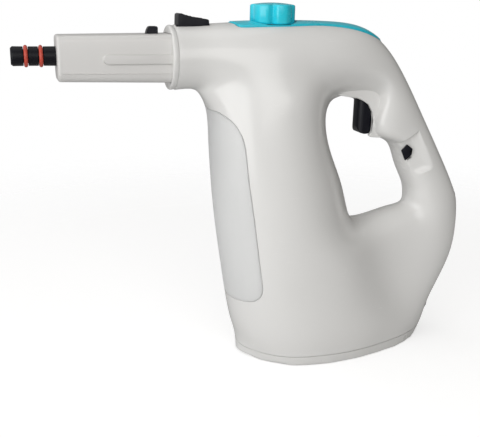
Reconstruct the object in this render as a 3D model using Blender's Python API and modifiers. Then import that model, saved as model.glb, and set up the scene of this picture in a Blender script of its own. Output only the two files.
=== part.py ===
# Handheld steam cleaner, modelled in metres with +Z up.
# X runs from the nozzle (negative) to the handle (positive) and Y = 0 is the plane of symmetry.
# The origin is the centre of the flat base.
import bpy
import bmesh
import math
import numpy as np
from mathutils import Matrix, Vector

# Overall size of the moulded body
BODY_LENGTH = 0.200
BODY_HALF_WIDTH = 0.040
BODY_HEIGHT = 0.240
WALL = 0.0026
GAP = 0.0003
OVERRUN = 0.050
BASE_COVER_HEIGHT = 0.0075
RIB = 0.0024
ROUND_SIDES = 16
SMALL_SIDES = 10
SOLVER_SLACK_SHARE = 0.01
MERGE_DISTANCE = 0.000001
FINAL_MERGE_DISTANCE = 0.0000005
SEAM_MERGE_DISTANCE = 0.00001
FIT_STEPS = 8
FIT_SHARE = 0.9
SKIN_SHARE = 0.2
INNER_SKIN_SHARE = 0.5

# Neck and barrel
NECK_RADIUS = 0.0203
BARREL_REACH = 0.0735
BARREL_INSERT = 0.0115
BARREL_HALF_WIDTH = 0.0136
BARREL_HALF_HEIGHT = 0.0141
BARREL_TAPER = 0.0012
BARREL_CORNER = 0.0060
BARREL_WALL = 0.0022
BARREL_EDGE = 0.0012
BARREL_EDGE_STEPS = 3
LIP_WIDTH = 0.0045
LIP_PROUD = 0.0005
LIP_ROUND = 0.0014
LIP_SIDES = 32
LIP_STEPS = 3
GUIDE_LENGTH = 0.046
GUIDE_HEIGHT = 0.0054
GUIDE_STEP = 0.0010
SPIGOT_RADIUS = 0.0060
SPIGOT_REACH = 0.0270
SPIGOT_FLANGE_RADIUS = 0.0095
SPIGOT_FLANGE = 0.0025
SPIGOT_TAIL = 0.0060
STEAM_BORE = 0.0021
RING_THICKNESS = 0.0024
RING_PROUD = 0.0008
RING_FRONT_REACH = 0.0180
RING_REAR_REACH = 0.0090
CHAMFER = 0.0010

# Release lever
BUTTON_LENGTH = 0.0205
BUTTON_WIDTH = 0.0120
BUTTON_FRONT_RISE = 0.0077
BUTTON_REAR_RISE = 0.0042
BUTTON_FLAT = 0.0030
BUTTON_SETBACK = 0.0030
ARM_THICKNESS = 0.0036
ARM_WIDTH = 0.0080
TOOTH_LENGTH = 0.0075
TOOTH_WIDTH = 0.0060
TOOTH_RISE = 0.0044
TOOTH_OFFSET = 0.0095
LATCH_SWEEP = 0.0012
LATCH_REAR_SWEEP_SHARE = 0.7
LATCH_DROP = 0.0075
PIN_PLATE = 0.0024
PIN_RADIUS = 0.0015
HUB_RADIUS = 0.0034
SPRING_WIRE = 0.0004
SPRING_COILS = 3
SPRING_POINTS = 8
SPRING_REACH_SHARE = 0.1

# Top plate, dial and valve
PLATE_PROUD = 0.0008
PLATE_RECESS = 0.0012
DIAL_RADIUS = 0.0156
DIAL_ROOT_RADIUS = 0.0118
DIAL_HEIGHT = 0.0125
DIAL_LOBES = 5
DIAL_LOBE_POINTS = 8
DIAL_VALLEY_POWER = 3
DIAL_EDGE = 0.0014
DIAL_EDGE_STEPS = 3
DIAL_DOME = 0.0012
DIAL_DOME_SHARES = (0.66, 0.33)
WELL_DROP = 0.0023
WELL_RADIUS = 0.0164
WELL_WALL = 0.0015
WELL_SIDES = 48
SPINDLE_RADIUS = 0.0032
SPINDLE_SEAT = 0.0040
VALVE_LENGTH = 0.024
VALVE_HALF_WIDTH = 0.0085
VALVE_HEIGHT = 0.022
VALVE_PORT_DROP = 0.0175
PORT_RADIUS = 0.0044
PORT_LENGTH = 0.0040
PORT_SEAT = 0.0025
PIPE_RADIUS = 0.0022
PIPE_DROP = 0.0045
PIPE_BEND = 0.0060
PIPE_BEND_STEPS = 3
PIPE_CLEARANCE = 0.0150
PIPE_LEAD = 0.0100
SPIGOT_RISE = 0.0012

# Tank and filler
TANK_WALL = 0.0020
FILLER_RADIUS = 0.0080
FILLER_BORE = 0.0056
FILLER_CAP = 0.0024
FILLER_STEM = 0.0080
TANK_OUTLET_RADIUS = 0.0040
SEAL_FLANGE_RADIUS = 0.0058
SEAL_FLANGE = 0.0015

# Boiler
BOILER_RADIUS = 0.0170
BOILER_HALF_WIDTH = 0.0152
BOILER_HEIGHT = 0.066
BOILER_LID_HEIGHT = 0.005
BOILER_STUB = 0.004
BOILER_RISE = 0.032
BOILER_RIB_SHARES = (0.14, 0.86)
THERMOSTAT_SHARE = 0.55
TERMINAL_SHARE = 0.3
THERMOSTAT_RADIUS = 0.0080
THERMOSTAT_DEPTH = 0.0070
TERMINAL_BLADE = 0.0008
TERMINAL_REACH = 0.0075
TERMINAL_BASE = 0.0040
FUSE_RADIUS = 0.0020
FUSE_LENGTH = 0.0140

# Pump
PUMP_COIL_RADIUS = 0.0150
PUMP_COIL_LENGTH = 0.036
PUMP_HEAD_RADIUS = 0.0090
PUMP_HEAD_LENGTH = 0.0100
PUMP_BARB_RADIUS = 0.0028
PUMP_BARB_LENGTH = 0.0080
YOKE_PLATE = 0.0016
PUMP_SETBACK = 0.0515
FEED_REACH = 0.0080
STUB_CLEARANCE = 0.0120
BLADE_LENGTH = 0.0040

# Handle, trigger and lock
TRIGGER_WIDTH_SHARE = 0.315
THROAT_CLEARANCE = 0.0010
TRIGGER_HUB_RADIUS = 0.0050
SWITCH_DEPTH = 0.0100
SWITCH_WIDTH = 0.0064
SWITCH_HEIGHT = 0.0200
SWITCH_LEVER = 0.0008
SWITCH_LEVER_GAP = 0.0028
SWITCH_STANDOFF = 0.0006
SWITCH_LEVER_SHARE = 0.35
SWITCH_RIB_SHARES = (-0.4, 0.3)
RECESS_FLOOR = 0.0118
RECESS_SLOPE_SHARE = 0.19
RECESS_PAD = 0.0033
SLIDER_CAP = 0.0022
SLIDER_STEM = 0.0030
SLIDER_TRAVEL = 0.0040
SLIDER_FLANGE = 0.0012
SLIDER_PAD = 0.010

# Base, gland, terminal block and screws
GLAND_RADIUS = 0.0068
GLAND_NECK_RADIUS = 0.0050
GLAND_BORE = 0.0036
GLAND_FLANGE = 0.0014
GLAND_SPOT = 0.0022
GLAND_PAD = 0.0056
BLOCK_LENGTH = 0.016
BLOCK_WIDTH = 0.010
BLOCK_HEIGHT = 0.011
BLOCK_STAND = 0.0120
SCREW_RADIUS = 0.0015
SCREW_HEAD_RADIUS = 0.0029
SCREW_HEAD = 0.0020
SCREW_CROWN_SHARE = 0.7
SCREW_LENGTH = 0.018
SCREW_GRIP = 0.0080
BOSS_RADIUS = 0.0036
COUNTERBORE_WALL = 0.0016
BASE_SCREW_LENGTH = 0.014
BASE_POST_HEIGHT = 0.018
BASE_RIB_OFFSET = 0.0150
BASE_RIB_SPACING = 0.0360
BASE_RIBS = 3
SHARP_ANGLE = math.radians(35)
BEVEL_ANGLE = math.radians(60)

# Places on the body are written in 200ths of its length, 40ths of its half width and
# 240ths of its height.
LENGTH_SHARES = 200
WIDTH_SHARES = 40
HEIGHT_SHARES = 240

# Skin of the body below the hand hole, one row for each level, from the front centre line
# round the side to the rear centre line: x, y, z.
LOWER_SKIN_SHARES = (
    ((-68.5, 0, 0), (-59.5, 21.5, 0), (-40, 35.5, 0), (-13, 39, 0), (12, 36.5, 0), (30, 32, 0),
     (46, 27, 0), (58, 21, 0), (67.5, 14.5, 0), (74, 7.5, 0), (76.5, 0, 0)),
    ((-73, 0, 14), (-65, 22.5, 14), (-43.5, 38, 14), (-13.5, 41.8, 14), (12, 39, 14),
     (31, 33.5, 14), (47, 27.5, 14), (60.5, 21.5, 14), (71.5, 15.5, 14), (79, 8.5, 14), (81, 0, 14)),
    ((-77.5, 0, 30), (-70, 23, 30), (-47, 39.5, 30), (-15, 43, 30), (11, 39, 30), (30, 32, 30),
     (46, 24.5, 30), (61, 19.5, 30), (75, 15.5, 30), (83.5, 9, 30), (86.3, 0, 30)),
    ((-82.5, 0, 60), (-75, 24, 60), (-51, 40.5, 60), (-17, 42, 60), (8, 35.5, 60), (28, 25, 60),
     (46, 19, 60), (64, 17.5, 59), (82, 16, 57), (94, 10, 55), (97, 0, 54)),
    ((-86.5, 0, 86), (-78.5, 24.5, 86), (-53, 41, 86), (-17, 40, 86), (8, 29, 86), (30, 18, 89),
     (51, 15.5, 94), (68, 17, 88), (84, 17, 82), (99, 11, 78), (102.5, 0, 77)),
    ((-89.5, 0, 110), (-81, 25.5, 109), (-54, 41, 108), (-16, 36, 106), (14, 0, 99.5), (33, 0, 100),
     (55, 0, 105.5), (68, 14.5, 104), (83, 17.5, 101.5), (98.5, 11.5, 100), (102.5, 0, 99.5)),
)
# Skin beside the hand hole, from the front centre line to the edge of the hole
BESIDE_SKIN_SHARES = (
    ((-91.5, 0, 134), (-83, 26, 132), (-54, 40.5, 130), (-18, 33, 128), (4, 0, 126)),
    ((-93, 0, 160), (-85, 25.5, 158), (-56, 38.5, 156), (-24, 31, 154), (-7, 0, 152)),
    ((-95, 0, 180), (-87, 23.5, 177), (-58, 36.5, 176), (-27, 30, 174), (-11.5, 0, 172)),
)
# Skin above the hand hole, from the neck root to the handle's upper corner, from the
# underside up to the crown
UPPER_SKIN_SHARES = (
    ((-104, 0, 193.6), (-90, 20.5, 192.5), (-60, 34, 191), (-30, 31, 190), (-6, 0, 184.5),
     (8, 0, 188.5), (26, 0, 187)),
    ((-103, 15, 201), (-88, 21.5, 202), (-61, 30.5, 203), (-33, 28.5, 203.5), (-9, 22, 203),
     (10, 19, 202), (28.5, 16, 194)),
    ((-103, 20.5, 215), (-88, 23, 216), (-62, 27.5, 217), (-35, 27.5, 217.5), (-10, 26, 217.5),
     (12, 23, 214), (32, 19, 203)),
    ((-103, 14.8, 229.8), (-88, 16.5, 231), (-62, 19.5, 232.7), (-35, 20, 233.2), (-11, 19, 232.8),
     (14, 16.5, 228.5), (36, 13.5, 212.5)),
    ((-103, 0, 236.4), (-88, 0, 237.3), (-62, 0, 238.4), (-35, 0, 238.8), (-11, 0, 238.3),
     (15, 0, 234.3), (38, 0, 216.5)),
)
# Sections of the grip from the trigger down, each from the finger side to the palm side
GRIP_SKIN_SHARES = (
    ((25.5, 0, 173), (27.5, 14.5, 175), (41, 18.5, 180), (53.5, 13, 185.5), (58, 0, 187.5)),
    ((28.5, 0, 160), (31.5, 15, 161), (47, 18, 166), (62.5, 12.5, 170.5), (67.5, 0, 171.5)),
    ((43, 0, 152.5), (47, 13.5, 153.5), (58, 17, 155.5), (71, 12, 157.5), (75.5, 0, 158)),
    ((51, 0, 137), (55, 13.5, 138), (67, 17, 140), (80, 12, 142), (84.5, 0, 143)),
    ((59, 0, 121), (63, 13.5, 122), (75.5, 17, 124), (89, 12, 126), (93.5, 0, 127)),
    ((60.5, 0, 112), (66, 14, 112), (80, 17.5, 112), (95.5, 12, 112.5), (100.3, 0, 113)),
)
NECK_FACE_SHARE = (-119.5, 0, 215)
RIM_CREASE_SHARE = 0.75
BASE_CREASE_SHARE = 0.80
HEEL_CREASE_SHARE = 0.50

# Outlines in the plane of symmetry, and the centres of the pieces inside
WINDOW_SHARES = ((-125, 182), (-96, 181.5), (-90, 179.5), (-85, 175.5), (-81, 169.5), (-78.3, 162),
                 (-77, 153), (-75, 135), (-72, 115), (-69, 94), (-66, 73), (-64.3, 62), (-64.6, 56),
                 (-67, 51.5), (-71, 49), (-76, 47.8), (-82, 47), (-125, 46.5))
TANK_BACK_SHARE = (-50.5, 0, 38)
TANK_TOP_SHARE = (-50.5, 0, 186)
FILLER_SHARE = (-61.5, 0, 168)
TANK_OUTLET_SHARE = (-50.5, 0, 46)
PLATE_SHARES = ((-81.5, 0), (-79.5, 7), (-76.5, 13), (-58, 14), (-43, 14), (-20, 13.3), (0, 13.6), (12, 13),
                (21, 10.5), (28, 5.5), (30.5, 0))
PLATE_BOTTOM_SHARE = (0, 0, 205)
DIAL_SHARE = (-51, 0, 238.8)
VALVE_SHARE = (-51, 0, 232)
BOILER_SHARE = (-30, 0, 0)
PUMP_SHARE = (0, 0, 52)
TRIGGER_PIVOT_SHARE = (24, 0, 197)
TRIGGER_SHARES = ((19.2, 198.5), (15.5, 193), (12.0, 188), (10.4, 183), (10.2, 177), (10.8, 170),
                  (11.3, 165.5), (12.2, 162.8), (14.4, 161.5), (18, 161.2), (22, 161.4), (24.6, 162.4),
                  (25.8, 165), (26.2, 170), (28.3, 176), (34.8, 177.4), (34.8, 180.2), (30.5, 184.5),
                  (29.4, 190), (28.9, 197.5))
SWITCH_SHARE = (0, 0, 184)
SLIDER_SHARE = (51.2, 0, 147.5)
RECESS_SHARES = ((40, 153.2), (58, 164), (73.5, 136), (57, 130.5), (52, 131))
SLIDER_SHARES = ((-1.2, 6.5), (2.8, 2.5), (1.0, 0.3), (2.8, -1.5), (0.8, -6.5), (-3.2, 1.5))
GRIP_AXIS_SHARE = (0.529, 0, -0.849)
THROAT_SHARES = ((9.8, 203), (9.8, 180.0), (20, 172), (20, 156.4), (41, 156.4), (41, 203))
GLAND_SHARE = (83.9, 0, 22)
GLAND_LEAN_SHARE = (0.95, 0, -0.312)
BLOCK_SHARE = (60, 0, 0)
CASING_SCREW_SHARES = ((-97, 0, 200), (-19, 0, 225), (41, 0, 204), (78, 0, 120), (80, 0, 42), (2, 0, 22))
BASE_SCREW_SHARES = ((-44, -22, 0), (-44, 22, 0), (36, 20, 0))
LATCH_PIVOT_SHARE = (-97, 0, 229)


def place(share):
    """World position of a place on the body."""
    x, y, z = share
    return Vector((
        x * BODY_LENGTH / LENGTH_SHARES,
        y * BODY_HALF_WIDTH / WIDTH_SHARES,
        z * BODY_HEIGHT / HEIGHT_SHARES,
    ))


def outline(shares):
    """Side-view outline on the body, as (x, z) pairs."""
    return [(place((x, 0, z)).x, place((x, 0, z)).z) for x, z in shares]


# Scene and collections
for old in list(bpy.data.objects):
    bpy.data.objects.remove(old)
PARTS = bpy.data.collections.new("steam_cleaner")
CUTTERS = bpy.data.collections.new("cutters")
bpy.context.scene.collection.children.link(PARTS)
bpy.context.scene.collection.children.link(CUTTERS)


def evaluated_mesh(obj):
    """Plain mesh of an object with its modifiers applied."""
    bpy.context.view_layer.update()
    graph = bpy.context.evaluated_depsgraph_get()
    mesh = bpy.data.meshes.new_from_object(obj.evaluated_get(graph))
    mesh.materials.clear()
    return mesh


def new_object(name, mesh):
    """Working solid in the cutters' collection."""
    obj = bpy.data.objects.new(name, mesh)
    CUTTERS.objects.link(obj)
    obj.hide_render = True
    obj.display_type = "WIRE"
    return obj


def face_outwards(shape):
    """Turn every face of a closed shape outwards."""
    bmesh.ops.recalc_face_normals(shape, faces=shape.faces)
    if shape.calc_volume(signed=True) < 0:
        bmesh.ops.reverse_faces(shape, faces=shape.faces)


def from_bmesh(name, shape):
    mesh = bpy.data.meshes.new(name)
    face_outwards(shape)
    shape.to_mesh(mesh)
    shape.free()
    return new_object(name, mesh)


def settle(obj):
    """Apply an object's modifiers."""
    mesh = evaluated_mesh(obj)
    obj.modifiers.clear()
    obj.data = mesh


def closed_volume(mesh):
    """Volume of a mesh, or -1 when it isn't closed."""
    shape = bmesh.new()
    shape.from_mesh(mesh)
    closed = all(len(edge.link_faces) == 2 for edge in shape.edges)
    volume = shape.calc_volume(signed=True) if closed else -1
    shape.free()
    return volume


def combine(target, operation, *others):
    """Join, cut or clip a solid with others. The second solver is for what the first can't do."""
    for other in others:
        own, cutter = closed_volume(target.data), closed_volume(other.data)
        bounds = {"UNION": (max(own, cutter), own + cutter), "INTERSECT": (0, min(own, cutter)),
                  "DIFFERENCE": (own - cutter, own)}[operation]
        slack = own * SOLVER_SLACK_SHARE
        for solver in ("EXACT", "MANIFOLD"):
            modifier = target.modifiers.new(operation.title(), "BOOLEAN")
            modifier.operation = operation
            modifier.solver = solver
            modifier.object = other
            mesh = evaluated_mesh(target)
            target.modifiers.clear()
            volume = closed_volume(mesh)
            if volume > 0 and bounds[0] - slack < volume < bounds[1] + slack:
                break
        target.data = mesh
    return target


def duplicate(name, obj):
    return new_object(name, obj.data.copy())


def block(name, low, high):
    """Box between two corners."""
    shape = bmesh.new()
    bmesh.ops.create_cube(shape, size=1)
    for vert in shape.verts:
        for axis in range(3):
            low_side = vert.co[axis] < 0
            vert.co[axis] = low[axis] if low_side else high[axis]
    return from_bmesh(name, shape)


def rod(name, radius, start, end, sides=ROUND_SIDES, end_radius=None):
    """Cylinder or cone from one point to another."""
    start, end = Vector(start), Vector(end)
    axis = end - start
    shape = bmesh.new()
    far_radius = radius if end_radius is None else end_radius
    bmesh.ops.create_cone(shape, cap_ends=True, segments=sides, radius1=radius, radius2=far_radius,
                          depth=axis.length)
    turn = Vector((0, 0, 1)).rotation_difference(axis).to_matrix().to_4x4()
    bmesh.ops.transform(shape, matrix=Matrix.Translation((start + end) / 2) @ turn, verts=shape.verts)
    return from_bmesh(name, shape)


def cross_rod(name, radius, centre, low, high, sides=ROUND_SIDES):
    """Cylinder across the body, from one Y to another."""
    return rod(name, radius, (centre.x, low, centre.z), (centre.x, high, centre.z), sides)


def turned(name, profile, start, axis, sides=ROUND_SIDES):
    """Solid of revolution. The profile is (radius, distance along the axis) pairs, taken down
    the outside and back up the bore."""
    mesh = bpy.data.meshes.new(name)
    points = [(radius, 0, distance) for radius, distance in profile]
    edges = [(i, (i + 1) % len(points)) for i in range(len(points))]
    mesh.from_pydata(points, edges, [])
    obj = new_object(name, mesh)
    screw = obj.modifiers.new("Screw", "SCREW")
    screw.steps = sides
    screw.render_steps = sides
    screw.use_merge_vertices = True
    screw.merge_threshold = SEAM_MERGE_DISTANCE
    settle(obj)
    shape = bmesh.new()
    shape.from_mesh(obj.data)
    bmesh.ops.dissolve_degenerate(shape, dist=MERGE_DISTANCE, edges=shape.edges)
    loose = [edge for edge in shape.edges if not edge.link_faces]
    bmesh.ops.delete(shape, geom=loose, context="EDGES")
    face_outwards(shape)
    turn = Vector((0, 0, 1)).rotation_difference(Vector(axis)).to_matrix().to_4x4()
    bmesh.ops.transform(shape, matrix=Matrix.Translation(start) @ turn, verts=shape.verts)
    shape.to_mesh(obj.data)
    shape.free()
    return obj


def prism(name, points, low, high, grow=0, across="Y"):
    """Flat outline with thickness. Across Y the points are (x, z), across Z they are (x, y)."""
    curve = bpy.data.curves.new(name, "CURVE")
    curve.dimensions = "2D"
    curve.fill_mode = "BOTH"
    curve.extrude = (high - low) / 2
    spline = curve.splines.new("POLY")
    spline.points.add(len(points) - 1)
    for vertex, (first, second) in zip(spline.points, grown(points, grow)):
        vertex.co = (first, second, 0, 1)
    spline.use_cyclic_u = True
    obj = bpy.data.objects.new(name, curve)
    CUTTERS.objects.link(obj)
    mesh = evaluated_mesh(obj)
    bpy.data.objects.remove(obj)
    shape = bmesh.new()
    shape.from_mesh(mesh)
    bmesh.ops.remove_doubles(shape, verts=shape.verts, dist=MERGE_DISTANCE)
    middle = (low + high) / 2
    for vert in shape.verts:
        first, second, third = vert.co
        depth = middle + third
        vert.co = (first, depth, second) if across == "Y" else (first, second, depth)
    return from_bmesh(name, shape)


def grown(points, distance):
    """Outline moved outwards by a distance."""
    if distance == 0:
        return points
    count = len(points)
    area = sum(points[i][0] * points[(i + 1) % count][1] - points[(i + 1) % count][0] * points[i][1]
               for i in range(count))
    side = 1 if area > 0 else -1
    moved = []
    for i in range(count):
        before = Vector(points[i]) - Vector(points[i - 1])
        after = Vector(points[(i + 1) % count]) - Vector(points[i])
        normal_before = Vector((before.y, -before.x)).normalized() * side
        normal_after = Vector((after.y, -after.x)).normalized() * side
        bisector = (normal_before + normal_after).normalized()
        reach = distance / max(bisector.dot(normal_after), 0.5)
        moved.append(tuple(Vector(points[i]) + bisector * reach))
    return moved


def tube(name, points, radius, resolution=2):
    """Round tube or wire along a line of points."""
    curve = bpy.data.curves.new(name, "CURVE")
    curve.dimensions = "3D"
    curve.bevel_depth = radius
    curve.bevel_resolution = resolution
    curve.use_fill_caps = True
    spline = curve.splines.new("POLY")
    spline.points.add(len(points) - 1)
    for vertex, point in zip(spline.points, points):
        vertex.co = (*point, 1)
    obj = bpy.data.objects.new(name, curve)
    CUTTERS.objects.link(obj)
    mesh = evaluated_mesh(obj)
    bpy.data.objects.remove(obj)
    shape = bmesh.new()
    shape.from_mesh(mesh)
    bmesh.ops.remove_doubles(shape, verts=shape.verts, dist=MERGE_DISTANCE)
    return from_bmesh(name, shape)


def finish(name, obj, colour, roughness, metallic=0.0, pivot=None, alpha=1.0):
    """Name a finished piece, give it its material and put its origin on its axis."""
    obj.name = name
    CUTTERS.objects.unlink(obj)
    PARTS.objects.link(obj)
    obj.hide_render = False
    obj.display_type = "TEXTURED"
    material = bpy.data.materials.new(name)
    material.use_nodes = True
    shader = material.node_tree.nodes["Principled BSDF"]
    shader.inputs["Base Color"].default_value = (*colour, 1)
    shader.inputs["Roughness"].default_value = roughness
    shader.inputs["Metallic"].default_value = metallic
    shader.inputs["Alpha"].default_value = alpha
    material.diffuse_color = (*colour, alpha)
    shape = bmesh.new()
    shape.from_mesh(obj.data)
    bmesh.ops.remove_doubles(shape, verts=shape.verts, dist=FINAL_MERGE_DISTANCE)
    bmesh.ops.dissolve_degenerate(shape, dist=FINAL_MERGE_DISTANCE, edges=shape.edges)
    if pivot is not None:
        bmesh.ops.translate(shape, vec=-Vector(pivot), verts=shape.verts)
        obj.location = pivot
    shape.to_mesh(obj.data)
    shape.free()
    obj.data.materials.clear()
    obj.data.materials.append(material)
    obj.data.shade_smooth()
    obj.data.set_sharp_from_angle(angle=SHARP_ANGLE)
    return obj


WHITE = (0.80, 0.80, 0.79)
BLACK = (0.018, 0.019, 0.024)
TEAL = (0.02, 0.50, 0.62)
FROST = (0.60, 0.61, 0.61)
RED = (0.60, 0.10, 0.06)
STEEL = (0.55, 0.56, 0.58)
ALUMINIUM = (0.70, 0.71, 0.72)
BRASS = (0.72, 0.55, 0.25)
RUBBER = (0.05, 0.05, 0.05)
SILICONE = (0.62, 0.60, 0.56)
CREAM = (0.70, 0.66, 0.56)


# Skin of the body

def skin_points():
    """Points that the skin passes through, each with a (line, level) key, far side half."""
    points = {}
    below = ("front", "front_side", "side", "rear_side", "root", "middle", "grip0", "grip1", "grip2",
             "grip3", "grip4")
    for level, row in enumerate(LOWER_SKIN_SHARES):
        for line, share in zip(below, row):
            points[line, level] = place(share)
    for level, row in enumerate(BESIDE_SKIN_SHARES, len(LOWER_SKIN_SHARES)):
        for line, share in zip(below, row):
            points[line, level] = place(share)
    first = len(LOWER_SKIN_SHARES) + len(BESIDE_SKIN_SHARES)
    neck = place(NECK_FACE_SHARE)
    for step, row in enumerate(UPPER_SKIN_SHARES):
        angle = math.pi * (step / (len(UPPER_SKIN_SHARES) - 1) - 0.5)
        rise = NECK_RADIUS * math.sin(angle)
        points["neck", first + step] = Vector((neck.x, NECK_RADIUS * math.cos(angle), neck.z + rise))
        for line, share in zip(below, row):
            points[line, first + step] = place(share)
    for section, row in enumerate(GRIP_SKIN_SHARES):
        for ring, share in enumerate(row):
            points[section, ring] = place(share)
    return points, below, first


def skin_faces(below, first):
    """Four-sided faces between the points."""
    faces = []

    def strip(lines, levels):
        for level in levels:
            for left, right in zip(lines, lines[1:]):
                faces.append(((left, level), (right, level), (right, level + 1), (left, level + 1)))

    rows = len(LOWER_SKIN_SHARES)
    last = first + len(UPPER_SKIN_SHARES) - 1
    strip(below, range(rows - 1))
    strip(below[:5], range(rows - 1, first))
    strip(("neck",) + below[:7], range(first, last))
    rings = range(len(GRIP_SKIN_SHARES[0]))
    sections = [[("grip0", first + ring) for ring in rings]]
    sections += [[(section, ring) for ring in rings] for section in range(len(GRIP_SKIN_SHARES))]
    sections += [[("grip%d" % ring, rows - 1) for ring in rings]]
    for upper, lower in zip(sections, sections[1:]):
        for ring in rings[:-1]:
            faces.append((lower[ring], lower[ring + 1], upper[ring + 1], upper[ring]))
    foot = [(line, 0) for line in below]
    rim = [("neck", first + step) for step in range(len(UPPER_SKIN_SHARES))]
    heel = [(len(GRIP_SKIN_SHARES) - 1, ring) for ring in rings]
    return faces + [tuple(reversed(foot)), tuple(rim)], foot, rim, heel


def skin_cage():
    """Coarse cage whose subdivided skin passes through the listed points."""
    points, below, first = skin_points()
    faces, foot, rim, heel = skin_faces(below, first)
    index = {key: number for number, key in enumerate(points)}
    shape = bmesh.new()
    crease = shape.edges.layers.float.new("crease_edge")
    verts = [shape.verts.new(point) for point in points.values()]
    for face in faces:
        shape.faces.new([verts[index[key]] for key in face])
    creased = [(rim, RIM_CREASE_SHARE), (foot, BASE_CREASE_SHARE), (heel[-2:], HEEL_CREASE_SHARE)]
    for line, value in creased:
        for one, other in zip(line, line[1:]):
            shape.edges.get((verts[index[one]], verts[index[other]]))[crease] = value
    cage = from_bmesh("skin_cage", shape)
    mirror = cage.modifiers.new("Mirror", "MIRROR")
    mirror.use_axis = (False, True, False)
    mirror.merge_threshold = SEAM_MERGE_DISTANCE
    smooth = cage.modifiers.new("Subdivision", "SUBSURF")
    smooth.levels = 2
    smooth.render_levels = 2
    target = np.array([tuple(point) for point in points.values()])
    corners = target.copy()
    for _ in range(FIT_STEPS):
        cage.data.vertices.foreach_set("co", corners.ravel())
        skinned = evaluated_mesh(cage)
        reached = np.array([tuple(skinned.vertices[i].co) for i in range(len(target))])
        shift = target - reached
        shift[target[:, 1] == 0, 1] = 0
        corners += shift * FIT_SHARE
    cage.data.vertices.foreach_set("co", corners.ravel())
    return cage


CAGE = skin_cage()


def skin(name, inset=0, level=2):
    """Closed skin of the body, moved inwards by the inset."""
    CAGE.modifiers["Subdivision"].levels = level
    CAGE.modifiers["Subdivision"].render_levels = level
    mesh = evaluated_mesh(CAGE)
    normals = [vertex.normal.copy() for vertex in mesh.vertices]
    for vertex, normal in zip(mesh.vertices, normals):
        vertex.co -= normal * inset
    shape = bmesh.new()
    shape.from_mesh(mesh)
    bmesh.ops.triangulate(shape, faces=shape.faces)
    return from_bmesh(name, shape)


def thinned(obj, share):
    """Leave a share of the faces, most where the skin bends."""
    fewer = obj.modifiers.new("Decimate", "DECIMATE")
    fewer.ratio = share
    fewer.use_symmetry = True
    fewer.symmetry_axis = "Y"
    settle(obj)
    return obj


OUTER = thinned(skin("outer_skin"), SKIN_SHARE)
INNER = thinned(skin("inner_skin", WALL, 1), INNER_SKIN_SHARE)
CORE = thinned(skin("core_skin", WALL / 2, 1), INNER_SKIN_SHARE)
NECK = place(NECK_FACE_SHARE)
LATCH_PIVOT = place(LATCH_PIVOT_SHARE)
TRIGGER_PIVOT = place(TRIGGER_PIVOT_SHARE)
DIAL = place(DIAL_SHARE)
WELL_SEAT = DIAL.z - WELL_DROP
VALVE = place(VALVE_SHARE)
PUMP = place(PUMP_SHARE)
PUMP.x = place(TANK_BACK_SHARE).x + PUMP_SETBACK
BOILER = place(BOILER_SHARE)
BOILER.z = PUMP.z + BOILER_RISE
TRIGGER_TAIL = max(x for x, z in outline(TRIGGER_SHARES))
LEVER_FRONT = TRIGGER_TAIL + SWITCH_STANDOFF
SWITCH = place(SWITCH_SHARE)
SWITCH.x = LEVER_FRONT + SWITCH_LEVER + SWITCH_LEVER_GAP + SWITCH_DEPTH / 2
TRIGGER_WIDTH = BODY_HALF_WIDTH * TRIGGER_WIDTH_SHARE
TRIGGER_THROAT = TRIGGER_WIDTH + THROAT_CLEARANCE
SPRING_REACH = BODY_HALF_WIDTH * SPRING_REACH_SHARE
SPRING_WAY_RADIUS = PIN_RADIUS + SPRING_WIRE * 2 + GAP * 3
PIN_PLATE_SPAN = TRIGGER_WIDTH / 2 + SPRING_REACH + GAP * 2
SLIDER = place(SLIDER_SHARE)
GLAND = place(GLAND_SHARE)
BLOCK = place(BLOCK_SHARE)
FILLER = place(FILLER_SHARE)
GRIP_AXIS = Vector(GRIP_AXIS_SHARE).normalized()
GLAND_AXIS = Vector(GLAND_LEAN_SHARE).normalized()
SPIGOT_AXIS_Z = NECK.z + SPIGOT_RISE
BARREL_FRONT = NECK.x - BARREL_REACH
BARREL_REAR = NECK.x + BARREL_INSERT
NECK_TOP = NECK.z + NECK_RADIUS
VALVE_BASE = VALVE.z - VALVE_HEIGHT
PORT_Z = VALVE.z - VALVE_PORT_DROP
VALVE_FRONT = VALVE.x - VALVE_LENGTH / 2 - PORT_LENGTH
VALVE_REAR = VALVE.x + VALVE_LENGTH / 2 + PORT_LENGTH
BOILER_TOP = BOILER.z + BOILER_HEIGHT
LID_TOP = BOILER_TOP + GAP + BOILER_LID_HEIGHT
PUMP_FRONT = PUMP.x - PUMP_COIL_LENGTH / 2
PUMP_REAR = PUMP.x + PUMP_COIL_LENGTH / 2
PUMP_END = PUMP_HEAD_LENGTH + PUMP_BARB_LENGTH
TANK_BACK = place(TANK_BACK_SHARE)
TANK_TOP = place(TANK_TOP_SHARE)
TANK_OUTLET = place(TANK_OUTLET_SHARE)
ARM_TOP = LATCH_PIVOT.z - LATCH_DROP + ARM_THICKNESS
OUTLET_PIPE_Z = NECK.z - PIPE_DROP
TOOTH_REAR = NECK.x - TOOTH_OFFSET


# Barrel, spigot and seals

def barrel_section(inset=0, scale=1):
    """Rounded section of the barrel as (y, z) pairs about its axis."""
    half_width = BARREL_HALF_WIDTH * scale - inset
    half_height = BARREL_HALF_HEIGHT * scale - inset
    corner = BARREL_CORNER - inset
    points = []
    steps = 4
    for turn in range(4):
        side_y = 1 if turn in (0, 3) else -1
        side_z = 1 if turn in (0, 1) else -1
        for step in range(steps + 1):
            angle = math.pi / 2 * (turn + step / steps)
            points.append((side_y * (half_width - corner) + corner * math.cos(angle),
                           side_z * (half_height - corner) + corner * math.sin(angle)))
    return points


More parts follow.
